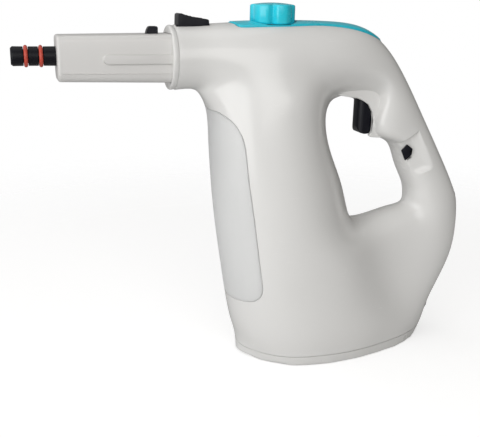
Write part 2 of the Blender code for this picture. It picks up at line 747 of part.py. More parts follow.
def barrel_solid(name, start, end, inset=0, edge=0):
    """Tapered length of the barrel between two X places, its front edge rounded where asked."""
    stations = [(start, inset), (end, inset)]
    if edge > 0:
        turns = [math.pi / 2 * step / BARREL_EDGE_STEPS for step in range(BARREL_EDGE_STEPS + 1)]
        stations = [(start + edge * (1 - math.cos(turn)), inset + edge * (1 - math.sin(turn)))
                    for turn in turns] + [(end, inset)]
    shape = bmesh.new()
    rings = []
    for x, depth in stations:
        scale = 1 + BARREL_TAPER / BARREL_HALF_WIDTH * (x - BARREL_FRONT) / BARREL_REACH
        rings.append([shape.verts.new((x, y, NECK.z + z)) for y, z in barrel_section(depth, scale)])
    count = len(rings[0])
    for one, other in zip(rings, rings[1:]):
        for i in range(count):
            after = (i + 1) % count
            shape.faces.new((one[i], one[after], other[after], other[i]))
    shape.faces.new(rings[0])
    shape.faces.new(rings[-1])
    return from_bmesh(name, shape)


def guide_rib(side):
    """Raised guide on one side of the barrel, round at its front end."""
    half = GUIDE_HEIGHT / 2
    front = NECK.x - GUIDE_LENGTH + half
    arc = [(front - half * math.sin(math.pi * step / 6), NECK.z + half * math.cos(math.pi * step / 6))
           for step in range(7)]
    rear = NECK.x - CHAMFER
    points = [(rear, NECK.z + half)] + arc + [(rear, NECK.z - half)]
    low, high = sorted((side * (BARREL_HALF_WIDTH - BARREL_WALL / 2),
                        side * (BARREL_HALF_WIDTH + BARREL_TAPER + GUIDE_STEP)))
    return prism("guide_rib", points, low, high)


def tooth_slot():
    front = TOOTH_REAR - TOOTH_LENGTH - LATCH_SWEEP / 2
    rear = TOOTH_REAR + LATCH_SWEEP * LATCH_REAR_SWEEP_SHARE
    return block("tooth_slot", (front, -TOOTH_WIDTH / 2 - GAP, NECK.z),
                 (rear, TOOTH_WIDTH / 2 + GAP, NECK.z + OVERRUN))


def button_slot(low):
    front = NECK.x + BUTTON_SETBACK - LATCH_SWEEP
    rear = NECK.x + BUTTON_SETBACK + BUTTON_LENGTH + GAP * 2
    return block("button_slot", (front, -BUTTON_WIDTH / 2 - GAP, low),
                 (rear, BUTTON_WIDTH / 2 + GAP, NECK.z + OVERRUN))


def make_nozzle_tube():
    tube_body = barrel_solid("nozzle_tube", BARREL_FRONT, BARREL_REAR, 0, BARREL_EDGE)
    combine(tube_body, "UNION", guide_rib(-1), guide_rib(1))
    hollow = barrel_solid("barrel_hollow", BARREL_FRONT + BARREL_WALL, BARREL_REAR + OVERRUN, BARREL_WALL)
    hole = rod("spigot_hole", SPIGOT_RADIUS + GAP, (BARREL_FRONT - OVERRUN, 0, SPIGOT_AXIS_Z),
               (BARREL_FRONT + OVERRUN, 0, SPIGOT_AXIS_Z))
    combine(tube_body, "DIFFERENCE", hollow, hole, tooth_slot(), button_slot(NECK.z))
    finish("nozzle_tube", tube_body, WHITE, 0.35)


def make_spigot():
    face = BARREL_FRONT + BARREL_WALL + GAP
    tip = BARREL_FRONT - SPIGOT_REACH
    rear = face + SPIGOT_FLANGE
    tail = rear + SPIGOT_TAIL
    groove = RING_THICKNESS / 2 + GAP
    groove_radius = SPIGOT_RADIUS + RING_PROUD - RING_THICKNESS - GAP
    profile = [(SPIGOT_RADIUS - CHAMFER, tip), (SPIGOT_RADIUS, tip + CHAMFER)]
    for reach in (RING_FRONT_REACH, RING_REAR_REACH):
        middle = BARREL_FRONT - reach
        profile += [(SPIGOT_RADIUS, middle - groove), (groove_radius, middle - groove),
                    (groove_radius, middle + groove), (SPIGOT_RADIUS, middle + groove)]
    bore = PIPE_RADIUS + GAP
    profile += [(SPIGOT_RADIUS, face), (SPIGOT_FLANGE_RADIUS, face), (SPIGOT_FLANGE_RADIUS, rear),
                (SPIGOT_RADIUS - CHAMFER, rear), (SPIGOT_RADIUS - CHAMFER, tail), (bore, tail),
                (bore, tail - PORT_SEAT), (STEAM_BORE, tail - PORT_SEAT), (STEAM_BORE, tip)]
    spigot = turned("steam_spigot", profile, (0, 0, SPIGOT_AXIS_Z), (1, 0, 0))
    finish("steam_spigot", spigot, BLACK, 0.4)
    ring = RING_THICKNESS / 2
    centre = SPIGOT_RADIUS + RING_PROUD - ring
    for name, reach in (("o_ring_front", RING_FRONT_REACH), ("o_ring_rear", RING_REAR_REACH)):
        section = [(centre + ring * math.cos(step * math.pi / 3), ring * math.sin(step * math.pi / 3))
                   for step in range(6)]
        seal = turned(name, section, (BARREL_FRONT - reach, 0, SPIGOT_AXIS_Z), (1, 0, 0))
        finish(name, seal, RED, 0.45)


# Release lever

def make_latch():
    pivot = LATCH_PIVOT
    front = NECK.x + BUTTON_SETBACK
    rear = front + BUTTON_LENGTH
    base = ARM_TOP + GAP
    hub_top = pivot.z + HUB_RADIUS + CHAMFER
    stem_rear = pivot.x - HUB_RADIUS * 2
    high = NECK_TOP + BUTTON_FRONT_RISE
    wedge = [(front, base), (front, high - CHAMFER), (front + CHAMFER, high), (front + BUTTON_FLAT, high),
             (rear - CHAMFER, NECK_TOP + BUTTON_REAR_RISE), (rear, NECK_TOP + BUTTON_REAR_RISE - CHAMFER),
             (rear, hub_top), (stem_rear + CHAMFER, hub_top), (stem_rear, base)]
    button = prism("release_button", wedge, -BUTTON_WIDTH / 2, BUTTON_WIDTH / 2)
    finish("release_button", button, BLACK, 0.4, pivot=pivot)
    low = pivot.z - LATCH_DROP
    tip = TOOTH_REAR - TOOTH_LENGTH
    barrel_top = NECK.z + BARREL_HALF_HEIGHT + BARREL_TAPER
    hub = [(pivot.x + HUB_RADIUS * math.cos(angle), pivot.z + HUB_RADIUS * math.sin(angle))
           for angle in [math.pi * (5 / 6 - step / 6) for step in range(9)]]
    arm = [(tip - CHAMFER, low), (tip - CHAMFER, ARM_TOP), (tip, ARM_TOP), (tip, barrel_top),
           (tip + CHAMFER * 2, barrel_top + TOOTH_RISE), (TOOTH_REAR - CHAMFER, barrel_top + TOOTH_RISE),
           (TOOTH_REAR, barrel_top + TOOTH_RISE - CHAMFER), (TOOTH_REAR, ARM_TOP),
           (stem_rear + HUB_RADIUS / 2, ARM_TOP)] + hub + [(stem_rear, low)]
    lever = prism("latch_arm", arm, -ARM_WIDTH / 2, ARM_WIDTH / 2)
    for side in (-1, 1):
        step_low, step_high = sorted((side * (TOOTH_WIDTH / 2 - GAP), side * OVERRUN))
        trim = block("tooth_trim", (tip - OVERRUN, step_low, ARM_TOP),
                     (TOOTH_REAR + CHAMFER, step_high, NECK_TOP + OVERRUN))
        combine(lever, "DIFFERENCE", trim)
    combine(lever, "DIFFERENCE", cross_rod("latch_bore", PIN_RADIUS + GAP, pivot, -OVERRUN, OVERRUN,
                                           SMALL_SIDES))
    finish("latch_arm", lever, BLACK, 0.45, pivot=pivot)


def pin_plates(pivot, span, side, half_length, low, high):
    """Rib of one casing half that carries a hinge pin."""
    inner, outer = sorted((side * span, side * (span + PIN_PLATE)))
    return block("pin_plate", (pivot.x - half_length, inner, low), (pivot.x + half_length, outer, high))


def make_pin(name, pivot, span):
    pin = cross_rod(name, PIN_RADIUS, pivot, -span - PIN_PLATE, span + PIN_PLATE, SMALL_SIDES)
    finish(name, pin, STEEL, 0.3, 1.0)


def make_torsion_spring(name, pivot, start):
    """Coil round a hinge pin, beside the hub that it turns back."""
    radius = PIN_RADIUS + GAP + SPRING_WIRE
    count = SPRING_COILS * SPRING_POINTS
    reach = SPRING_REACH - 2 * SPRING_WIRE
    points = []
    for step in range(count + 1):
        angle = 2 * math.pi * step / SPRING_POINTS
        points.append((pivot.x + radius * math.cos(angle), start + SPRING_WIRE + reach * step / count,
                       pivot.z + radius * math.sin(angle)))
    finish(name, tube(name, points, SPRING_WIRE, 0), STEEL, 0.3, 1.0)


# Top plate, dial and valve

def dial_radius(angle):
    """Radius of the dial's wall: broad lobes with narrow valleys between them."""
    valley = ((1 - math.cos(DIAL_LOBES * angle)) / 2) ** DIAL_VALLEY_POWER
    return DIAL_RADIUS - (DIAL_RADIUS - DIAL_ROOT_RADIUS) * valley


def dial_solid(base):
    """Lobed wall with a rounded top edge and a domed top."""
    wall_top = base + DIAL_HEIGHT - DIAL_EDGE
    levels = [(0, 1, base)]
    for step in range(DIAL_EDGE_STEPS + 1):
        turn = math.pi / 2 * step / DIAL_EDGE_STEPS
        levels.append((DIAL_EDGE * (1 - math.cos(turn)), 1, wall_top + DIAL_EDGE * math.sin(turn)))
    for share in DIAL_DOME_SHARES:
        levels.append((DIAL_EDGE, share, base + DIAL_HEIGHT + DIAL_DOME * (1 - share ** 2)))
    shape = bmesh.new()
    rings = []
    count = DIAL_LOBES * DIAL_LOBE_POINTS
    for inset, share, z in levels:
        ring = []
        for step in range(count):
            angle = 2 * math.pi * step / count
            radius = (dial_radius(angle) - inset) * share
            ring.append(shape.verts.new((DIAL.x + radius * math.cos(angle), radius * math.sin(angle), z)))
        rings.append(ring)
    for one, other in zip(rings, rings[1:]):
        for i in range(count):
            after = (i + 1) % count
            shape.faces.new((one[i], one[after], other[after], other[i]))
    shape.faces.new(rings[0])
    peak = shape.verts.new((DIAL.x, 0, base + DIAL_HEIGHT + DIAL_DOME))
    for i in range(count):
        shape.faces.new((rings[-1][i], rings[-1][(i + 1) % count], peak))
    return from_bmesh("steam_dial", shape)


def plate_outline():
    half = [(place((x, y, 0)).x, place((x, y, 0)).y) for x, y in PLATE_SHARES]
    return half + [(x, -y) for x, y in reversed(half[1:-1])]


PLATE_BOTTOM = place(PLATE_BOTTOM_SHARE).z


def under_plate(name, depth, grow=0):
    """Core that the plate lies on: the skin at a depth, with a pit for the cup under the dial."""
    pit = rod("cup_pit", WELL_RADIUS + WELL_WALL + grow, (DIAL.x, 0, WELL_SEAT - WELL_WALL - grow),
              (DIAL.x, 0, DIAL.z + OVERRUN), WELL_SIDES)
    return combine(skin(name, depth, 1), "DIFFERENCE", pit)


def make_top_plate():
    plate = prism("top_plate", plate_outline(), PLATE_BOTTOM, DIAL.z + OVERRUN, 0, "Z")
    combine(plate, "INTERSECT", skin("plate_face", -PLATE_PROUD, 2))
    well = rod("dial_well", WELL_RADIUS, (DIAL.x, 0, WELL_SEAT), (DIAL.x, 0, DIAL.z + OVERRUN), WELL_SIDES)
    combine(plate, "DIFFERENCE", under_plate("plate_seat", PLATE_RECESS - GAP), well)
    hole = rod("spindle_hole", SPINDLE_RADIUS + GAP, (DIAL.x, 0, VALVE.z), (DIAL.x, 0, DIAL.z + OVERRUN))
    combine(plate, "DIFFERENCE", hole)
    finish("top_plate", plate, TEAL, 0.35)


def plate_recess():
    recess = prism("plate_recess", plate_outline(), PLATE_BOTTOM, DIAL.z + OVERRUN, GAP, "Z")
    return combine(recess, "DIFFERENCE", under_plate("recess_floor", PLATE_RECESS, GAP))


def make_dial():
    base = WELL_SEAT + GAP
    knob = dial_solid(base)
    socket_top = base + SPINDLE_SEAT + GAP
    combine(knob, "DIFFERENCE", rod("dial_socket", SPINDLE_RADIUS + GAP, (DIAL.x, 0, base - OVERRUN),
                                    (DIAL.x, 0, socket_top)))
    finish("steam_dial", knob, TEAL, 0.3, pivot=(DIAL.x, 0, base))
    spindle = rod("dial_spindle", SPINDLE_RADIUS, (DIAL.x, 0, VALVE.z - SPINDLE_SEAT),
                  (DIAL.x, 0, socket_top - GAP))
    finish("dial_spindle", spindle, BRASS, 0.35, 1.0, pivot=(DIAL.x, 0, base))


def valve_solid(name, grow=0):
    half = VALVE_LENGTH / 2 + grow
    wide = VALVE_HALF_WIDTH + grow
    solid = block(name, (VALVE.x - half, -wide, VALVE_BASE - grow), (VALVE.x + half, wide, VALVE.z + grow))
    for end in (VALVE_FRONT - grow, VALVE_REAR + grow):
        combine(solid, "UNION", rod("port", PORT_RADIUS + grow, (VALVE.x, 0, PORT_Z), (end, 0, PORT_Z),
                                    SMALL_SIDES))
    return solid


def make_valve():
    valve = valve_solid("steam_valve")
    bore = PIPE_RADIUS + GAP
    depth = PORT_SEAT + GAP
    cutters = [rod("front_bore", bore, (VALVE_FRONT - OVERRUN, 0, PORT_Z), (VALVE_FRONT + depth, 0, PORT_Z),
                   SMALL_SIDES),
               rod("rear_bore", bore, (VALVE_REAR - depth, 0, PORT_Z), (VALVE_REAR + OVERRUN, 0, PORT_Z),
                   SMALL_SIDES),
               rod("spindle_bore", SPINDLE_RADIUS + GAP, (DIAL.x, 0, VALVE.z - SPINDLE_SEAT - GAP),
                   (DIAL.x, 0, VALVE.z + OVERRUN))]
    combine(valve, "DIFFERENCE", *cutters)
    finish("steam_valve", valve, BRASS, 0.35, 1.0)


# Water tank and filler

def window(grow=0):
    reach = BODY_HALF_WIDTH + OVERRUN
    return prism("window", outline(WINDOW_SHARES), -reach, reach, grow)


def tank_box(name, inset=0):
    reach = BODY_HALF_WIDTH + OVERRUN
    return block(name, (NECK.x - OVERRUN, -reach, TANK_BACK.z + inset),
                 (TANK_BACK.x - inset, reach, TANK_TOP.z - inset))


def filler_face():
    """Distance from the plane of symmetry to the filler neck's outer end, just under the skin."""
    depths = []
    for step in range(ROUND_SIDES):
        angle = 2 * math.pi * step / ROUND_SIDES
        start = Vector((FILLER.x + FILLER_RADIUS * math.cos(angle), BODY_HALF_WIDTH * 2,
                        FILLER.z + FILLER_RADIUS * math.sin(angle)))
        depths.append(OUTER.ray_cast(start, Vector((0, -1, 0)))[1].y)
    return min(depths) - GAP


FILLER_FACE = filler_face()


def make_tank():
    tank = duplicate("water_tank", OUTER)
    combine(tank, "INTERSECT", window())
    behind = combine(skin("tank_skin", WALL + GAP * 2, 1), "INTERSECT", tank_box("tank_box"))
    combine(tank, "UNION", behind)
    seat = cross_rod("filler_seat", FILLER_RADIUS + GAP, FILLER, FILLER_FACE, BODY_HALF_WIDTH * 2)
    combine(tank, "DIFFERENCE", seat)
    neck = cross_rod("filler_neck", FILLER_RADIUS, FILLER, BODY_HALF_WIDTH / 2, FILLER_FACE)
    combine(tank, "UNION", neck)
    hollow = skin("tank_hollow", WALL + GAP * 2 + TANK_WALL, 1)
    combine(hollow, "INTERSECT", tank_box("hollow_box", TANK_WALL))
    outlet = rod("tank_outlet", TANK_OUTLET_RADIUS, (TANK_BACK.x - TANK_WALL * 2, 0, TANK_OUTLET.z),
                 (TANK_BACK.x + OVERRUN, 0, TANK_OUTLET.z))
    bore = cross_rod("filler_bore", FILLER_BORE, FILLER, BODY_HALF_WIDTH / 2, BODY_HALF_WIDTH * 2)
    combine(tank, "DIFFERENCE", hollow, outlet, bore)
    finish("water_tank", tank, FROST, 0.5, alpha=0.75)


def make_filler_plug():
    seat = FILLER_FACE + GAP
    profile = [(0, seat + FILLER_CAP), (FILLER_RADIUS - CHAMFER, seat + FILLER_CAP),
               (FILLER_RADIUS - GAP, seat + FILLER_CAP - CHAMFER), (FILLER_RADIUS - GAP, seat),
               (FILLER_BORE - GAP, seat), (FILLER_BORE - GAP, seat - FILLER_STEM), (0, seat - FILLER_STEM)]
    plug = turned("filler_plug", profile, (FILLER.x, 0, FILLER.z), (0, 1, 0))
    finish("filler_plug", plug, RUBBER, 0.7, pivot=(FILLER.x, seat, FILLER.z))


def make_tank_seal():
    back = TANK_BACK.x
    bore = PIPE_RADIUS + GAP
    profile = [(TANK_OUTLET_RADIUS - GAP, back - TANK_WALL), (TANK_OUTLET_RADIUS - GAP, back + GAP),
               (SEAL_FLANGE_RADIUS, back + GAP), (SEAL_FLANGE_RADIUS, back + GAP + SEAL_FLANGE),
               (bore, back + GAP + SEAL_FLANGE), (bore, back - TANK_WALL)]
    seal = turned("tank_seal", profile, (0, 0, TANK_OUTLET.z), (1, 0, 0), SMALL_SIDES)
    finish("tank_seal", seal, RUBBER, 0.7)


# Boiler

def boiler_block(name, radius, low, high, half_width):
    column = rod(name, radius, (BOILER.x, 0, low), (BOILER.x, 0, high))
    clip = block("boiler_clip", (BOILER.x - OVERRUN, -half_width, low - OVERRUN),
                 (BOILER.x + OVERRUN, half_width, high + OVERRUN))
    return combine(column, "INTERSECT", clip)


def make_boiler():
    body = boiler_block("boiler_body", BOILER_RADIUS, BOILER.z, BOILER_TOP, BOILER_HALF_WIDTH)
    stub = rod("boiler_inlet", PUMP_BARB_RADIUS, (BOILER.x, 0, BOILER.z - BOILER_STUB),
               (BOILER.x, 0, BOILER.z + BOILER_STUB), SMALL_SIDES)
    combine(body, "UNION", stub)
    finish("boiler_body", body, ALUMINIUM, 0.4, 1.0)
    low = BOILER_TOP + GAP
    lid = boiler_block("boiler_lid", BOILER_RADIUS, low, LID_TOP, BOILER_HALF_WIDTH)
    outlet = rod("boiler_outlet", PORT_RADIUS, (BOILER.x, 0, low + BOILER_LID_HEIGHT / 2),
                 (BOILER.x, 0, LID_TOP + PORT_LENGTH), SMALL_SIDES)
    combine(lid, "UNION", outlet)
    bore = rod("outlet_bore", PIPE_RADIUS + GAP, (BOILER.x, 0, LID_TOP + PORT_LENGTH - PORT_SEAT - GAP),
               (BOILER.x, 0, LID_TOP + OVERRUN), SMALL_SIDES)
    combine(lid, "DIFFERENCE", bore)
    finish("boiler_lid", lid, ALUMINIUM, 0.4, 1.0)


def make_boiler_fittings():
    face = BOILER_HALF_WIDTH + GAP
    middle = BOILER.z + BOILER_HEIGHT * THERMOSTAT_SHARE
    disc = rod("thermostat", THERMOSTAT_RADIUS, (BOILER.x, -face, middle),
               (BOILER.x, -face - THERMOSTAT_DEPTH, middle))
    finish("thermostat", disc, CREAM, 0.5)
    fuse_z = middle + THERMOSTAT_RADIUS + FUSE_RADIUS * 2
    fuse = rod("thermal_fuse", FUSE_RADIUS, (BOILER.x - FUSE_LENGTH / 2, -face - FUSE_RADIUS, fuse_z),
               (BOILER.x + FUSE_LENGTH / 2, -face - FUSE_RADIUS, fuse_z), SMALL_SIDES)
    finish("thermal_fuse", fuse, STEEL, 0.35, 1.0)
    low = BOILER.z + BOILER_HEIGHT * TERMINAL_SHARE
    base = block("heater_terminals", (BOILER.x - TERMINAL_BASE * 2, face, low),
                 (BOILER.x + TERMINAL_BASE * 2, face + TERMINAL_BASE, low + TERMINAL_BASE * 2))
    for side in (-1, 1):
        x = BOILER.x + side * TERMINAL_BASE
        blade_low = low + TERMINAL_BASE / 2
        blade_end = face + TERMINAL_BASE + TERMINAL_REACH
        blade = block("blade", (x - TERMINAL_BLADE / 2, face + TERMINAL_BASE / 2, blade_low),
                      (x + TERMINAL_BLADE / 2, blade_end, blade_low + BLADE_LENGTH))
        combine(base, "UNION", blade)
    finish("heater_terminals", base, CREAM, 0.4)


# Pump

def pump_profile(grow=0):
    coil = PUMP_COIL_RADIUS + grow
    head = PUMP_HEAD_RADIUS + grow
    barb = PUMP_BARB_RADIUS + grow
    return [(0, PUMP_FRONT - PUMP_END), (barb, PUMP_FRONT - PUMP_END),
            (barb, PUMP_FRONT - PUMP_HEAD_LENGTH), (head, PUMP_FRONT - PUMP_HEAD_LENGTH),
            (head, PUMP_FRONT), (coil, PUMP_FRONT), (coil, PUMP_REAR),
            (head, PUMP_REAR), (head, PUMP_REAR + PUMP_HEAD_LENGTH), (barb, PUMP_REAR + PUMP_HEAD_LENGTH),
            (barb, PUMP_REAR + PUMP_END), (0, PUMP_REAR + PUMP_END)]


def make_pump():
    pump = turned("pump_body", pump_profile(), (0, 0, PUMP.z), (1, 0, 0))
    finish("pump_body", pump, RUBBER, 0.5)
    inner = PUMP_COIL_RADIUS + GAP
    outer = inner + YOKE_PLATE
    front, rear = PUMP_FRONT - GAP, PUMP_REAR + GAP
    width = PUMP_COIL_RADIUS
    yoke = block("pump_yoke", (front - YOKE_PLATE, -width, PUMP.z - outer),
                 (rear + YOKE_PLATE, width, PUMP.z + outer))
    cavity = block("yoke_cavity", (front, -OVERRUN, PUMP.z - inner), (rear, OVERRUN, PUMP.z + inner))
    bore = rod("yoke_bore", PUMP_HEAD_RADIUS + GAP, (front - OVERRUN, 0, PUMP.z),
               (rear + OVERRUN, 0, PUMP.z))
    combine(yoke, "DIFFERENCE", cavity, bore)
    finish("pump_yoke", yoke, STEEL, 0.4, 1.0)


# Hoses and pipes

def bent(corners):
    """Line through corners with a round bend at each, no wider than the runs beside it allow."""
    points = [corners[0]]
    for before, corner, after in zip(corners, corners[1:], corners[2:]):
        arrive, leave = corner - before, after - corner
        turn = arrive.angle(leave)
        setback = min(PIPE_BEND * math.tan(turn / 2), arrive.length / 2, leave.length / 2)
        first = corner - arrive.normalized() * setback
        last = corner + leave.normalized() * setback
        for step in range(PIPE_BEND_STEPS + 1):
            share = step / PIPE_BEND_STEPS
            one, other = first.lerp(corner, share), corner.lerp(last, share)
            points.append(one.lerp(other, share))
    return points + [corners[-1]]


def make_hose(name, corners):
    finish(name, tube(name, bent([Vector((x, 0, z)) for x, z in corners]), PIPE_RADIUS, 1), SILICONE, 0.6)


def make_hoses():
    tank_end = TANK_BACK.x - TANK_WALL * 2
    pump_end = PUMP_FRONT - PUMP_END - GAP
    middle = (TANK_BACK.x + pump_end) / 2
    make_hose("suction_tube", [(tank_end, TANK_OUTLET.z), (middle - PIPE_RADIUS, TANK_OUTLET.z),
                               (middle + PIPE_RADIUS, PUMP.z), (pump_end, PUMP.z)])
    feed_start = PUMP_REAR + PUMP_END + GAP
    over = PUMP.z + PUMP_COIL_RADIUS + YOKE_PLATE + PIPE_RADIUS + CHAMFER
    make_hose("feed_tube", [(feed_start, PUMP.z), (feed_start + FEED_REACH, PUMP.z),
                            (feed_start + FEED_REACH, over), (BOILER.x, over),
                            (BOILER.x, BOILER.z - BOILER_STUB - GAP)])
    make_hose("steam_pipe", [(BOILER.x, LID_TOP + PORT_LENGTH - PORT_SEAT), (BOILER.x, PORT_Z),
                             (VALVE_REAR - PORT_SEAT, PORT_Z)])
    tail = BARREL_FRONT + BARREL_WALL + SPIGOT_FLANGE + SPIGOT_TAIL - PORT_SEAT + GAP * 2
    make_hose("outlet_pipe", [(VALVE_FRONT + PORT_SEAT, PORT_Z), (VALVE_FRONT - FEED_REACH, PORT_Z),
                              (NECK.x + BARREL_INSERT, OUTLET_PIPE_Z),
                              (TOOTH_REAR - PIPE_CLEARANCE, OUTLET_PIPE_Z),
                              (tail + PIPE_LEAD, SPIGOT_AXIS_Z), (tail, SPIGOT_AXIS_Z)])


# Trigger, switch and lock

def make_trigger():
    trigger = prism("trigger", outline(TRIGGER_SHARES), -TRIGGER_WIDTH / 2, TRIGGER_WIDTH / 2)
    hub = cross_rod("trigger_hub", TRIGGER_HUB_RADIUS, TRIGGER_PIVOT, -TRIGGER_WIDTH / 2, TRIGGER_WIDTH / 2)
    combine(trigger, "UNION", hub)
    bevel = trigger.modifiers.new("Bevel", "BEVEL")
    bevel.width = CHAMFER
    bevel.segments = 2
    bevel.limit_method = "ANGLE"
    bevel.angle_limit = BEVEL_ANGLE
    settle(trigger)
    combine(trigger, "DIFFERENCE", cross_rod("trigger_bore", PIN_RADIUS + GAP, TRIGGER_PIVOT, -OVERRUN,
                                             OVERRUN, SMALL_SIDES))
    finish("trigger", trigger, BLACK, 0.4, pivot=TRIGGER_PIVOT)


def switch_box(name, grow=0):
    half_height = SWITCH_HEIGHT / 2 + grow
    low_x = SWITCH.x - SWITCH_DEPTH / 2 - grow
    return block(name, (low_x, -SWITCH_WIDTH / 2 - grow, SWITCH.z - half_height),
                 (low_x + SWITCH_DEPTH + 2 * grow, SWITCH_WIDTH / 2 + grow, SWITCH.z + half_height))


def make_microswitch():
    front = SWITCH.x - SWITCH_DEPTH / 2
    top = SWITCH.z + SWITCH_HEIGHT / 2
    body = switch_box("microswitch_body")
    ear_front = front - SWITCH_LEVER_GAP - SWITCH_LEVER
    ear = block("switch_ear", (ear_front, -SWITCH_WIDTH / 2, top - CHAMFER / 2),
                (front + SWITCH_DEPTH, SWITCH_WIDTH / 2, top + CHAMFER))
    plunger = block("switch_plunger", (front - SWITCH_LEVER_GAP / 4, -CHAMFER, SWITCH.z - CHAMFER),
                    (front + CHAMFER, CHAMFER, SWITCH.z + CHAMFER))
    combine(body, "UNION", ear, plunger)
    finish("microswitch_body", body, RUBBER, 0.5)
    rear = front - SWITCH_LEVER_GAP
    hinge = (rear - SWITCH_LEVER / 2, 0, top - CHAMFER / 2 - GAP)
    lever = block("microswitch_lever", (rear - SWITCH_LEVER, -SWITCH_WIDTH / 2 + CHAMFER / 2,
                                        SWITCH.z - SWITCH_HEIGHT * SWITCH_LEVER_SHARE),
                  (rear, SWITCH_WIDTH / 2 - CHAMFER / 2, hinge[2]))
    finish("microswitch_lever", lever, STEEL, 0.3, 1.0, pivot=hinge)


SLIDER_PAD_FACE = -RECESS_FLOOR + RECESS_PAD


def recess_floor(x):
    """Y of the recess floor at an X place, deeper towards the fingers."""
    return -RECESS_FLOOR - (x - SLIDER.x) * RECESS_SLOPE_SHARE


def thumb_recess():
    recess = prism("thumb_recess", outline(RECESS_SHARES), -BODY_HALF_WIDTH, 0)
    for vertex in recess.data.vertices:
        if vertex.co.y > -BODY_HALF_WIDTH / 2:
            vertex.co.y = recess_floor(vertex.co.x)
    return recess


def grip_block(name, along, across, low_y, high_y):
    """Box in line with the grip, measured along and across it from the slider."""
    box = block(name, (across[0], low_y, -along[1]), (across[1], high_y, -along[0]))
    turn = Matrix.Rotation(-math.atan2(GRIP_AXIS.x, -GRIP_AXIS.z), 4, "Y")
    box.data.transform(Matrix.Translation((SLIDER.x, 0, SLIDER.z)) @ turn)
    return box


def slider_slot():
    half = SLIDER_STEM / 2 + GAP
    return grip_block("slider_slot", (-half, half + SLIDER_TRAVEL), (-half, half), -BODY_HALF_WIDTH, 0)


def slider_flange(name, grow=0, travel=0):
    """Foot of the slider behind the wall, and the space that it moves in."""
    half = SLIDER_STEM / 2 + grow
    inner = SLIDER_PAD_FACE + GAP - grow
    return grip_block(name, (-half - SLIDER_FLANGE, half + SLIDER_FLANGE + travel),
                      (-half, half + SLIDER_STEM), inner, inner + SLIDER_FLANGE + 2 * grow)


def make_slider():
    corners = []
    for x, z in SLIDER_SHARES:
        offset = place((x, 0, z))
        corners.append((SLIDER.x + offset.x, SLIDER.z + offset.z))
    seat = recess_floor(SLIDER.x + SLIDER_TRAVEL) - GAP
    half = SLIDER_STEM / 2
    cap = prism("lock_slider", corners, seat - SLIDER_CAP, seat)
    stem = grip_block("slider_stem", (-half, half), (-half, half), seat - SLIDER_CAP / 2,
                      SLIDER_PAD_FACE + SLIDER_FLANGE)
    combine(cap, "UNION", stem, slider_flange("slider_flange"))
    finish("lock_slider", cap, BLACK, 0.45, pivot=(SLIDER.x, seat, SLIDER.z))


# Casing, with its ribs, bosses and openings

def counterbored(name, centre, axis, head_seat, length, outward):
    """Cutter for a screw: clearance hole and recess for the head along an axis."""
    centre, axis = Vector(centre), Vector(axis)
    shank = rod(name, SCREW_RADIUS + GAP, centre + axis * (head_seat - length), centre + axis * outward,
                SMALL_SIDES)
    head = rod("head_recess", SCREW_HEAD_RADIUS + GAP, centre + axis * head_seat, centre + axis * outward,
               SMALL_SIDES)
    return combine(shank, "UNION", head)


HEAD_SEAT = SCREW_LENGTH - SCREW_GRIP


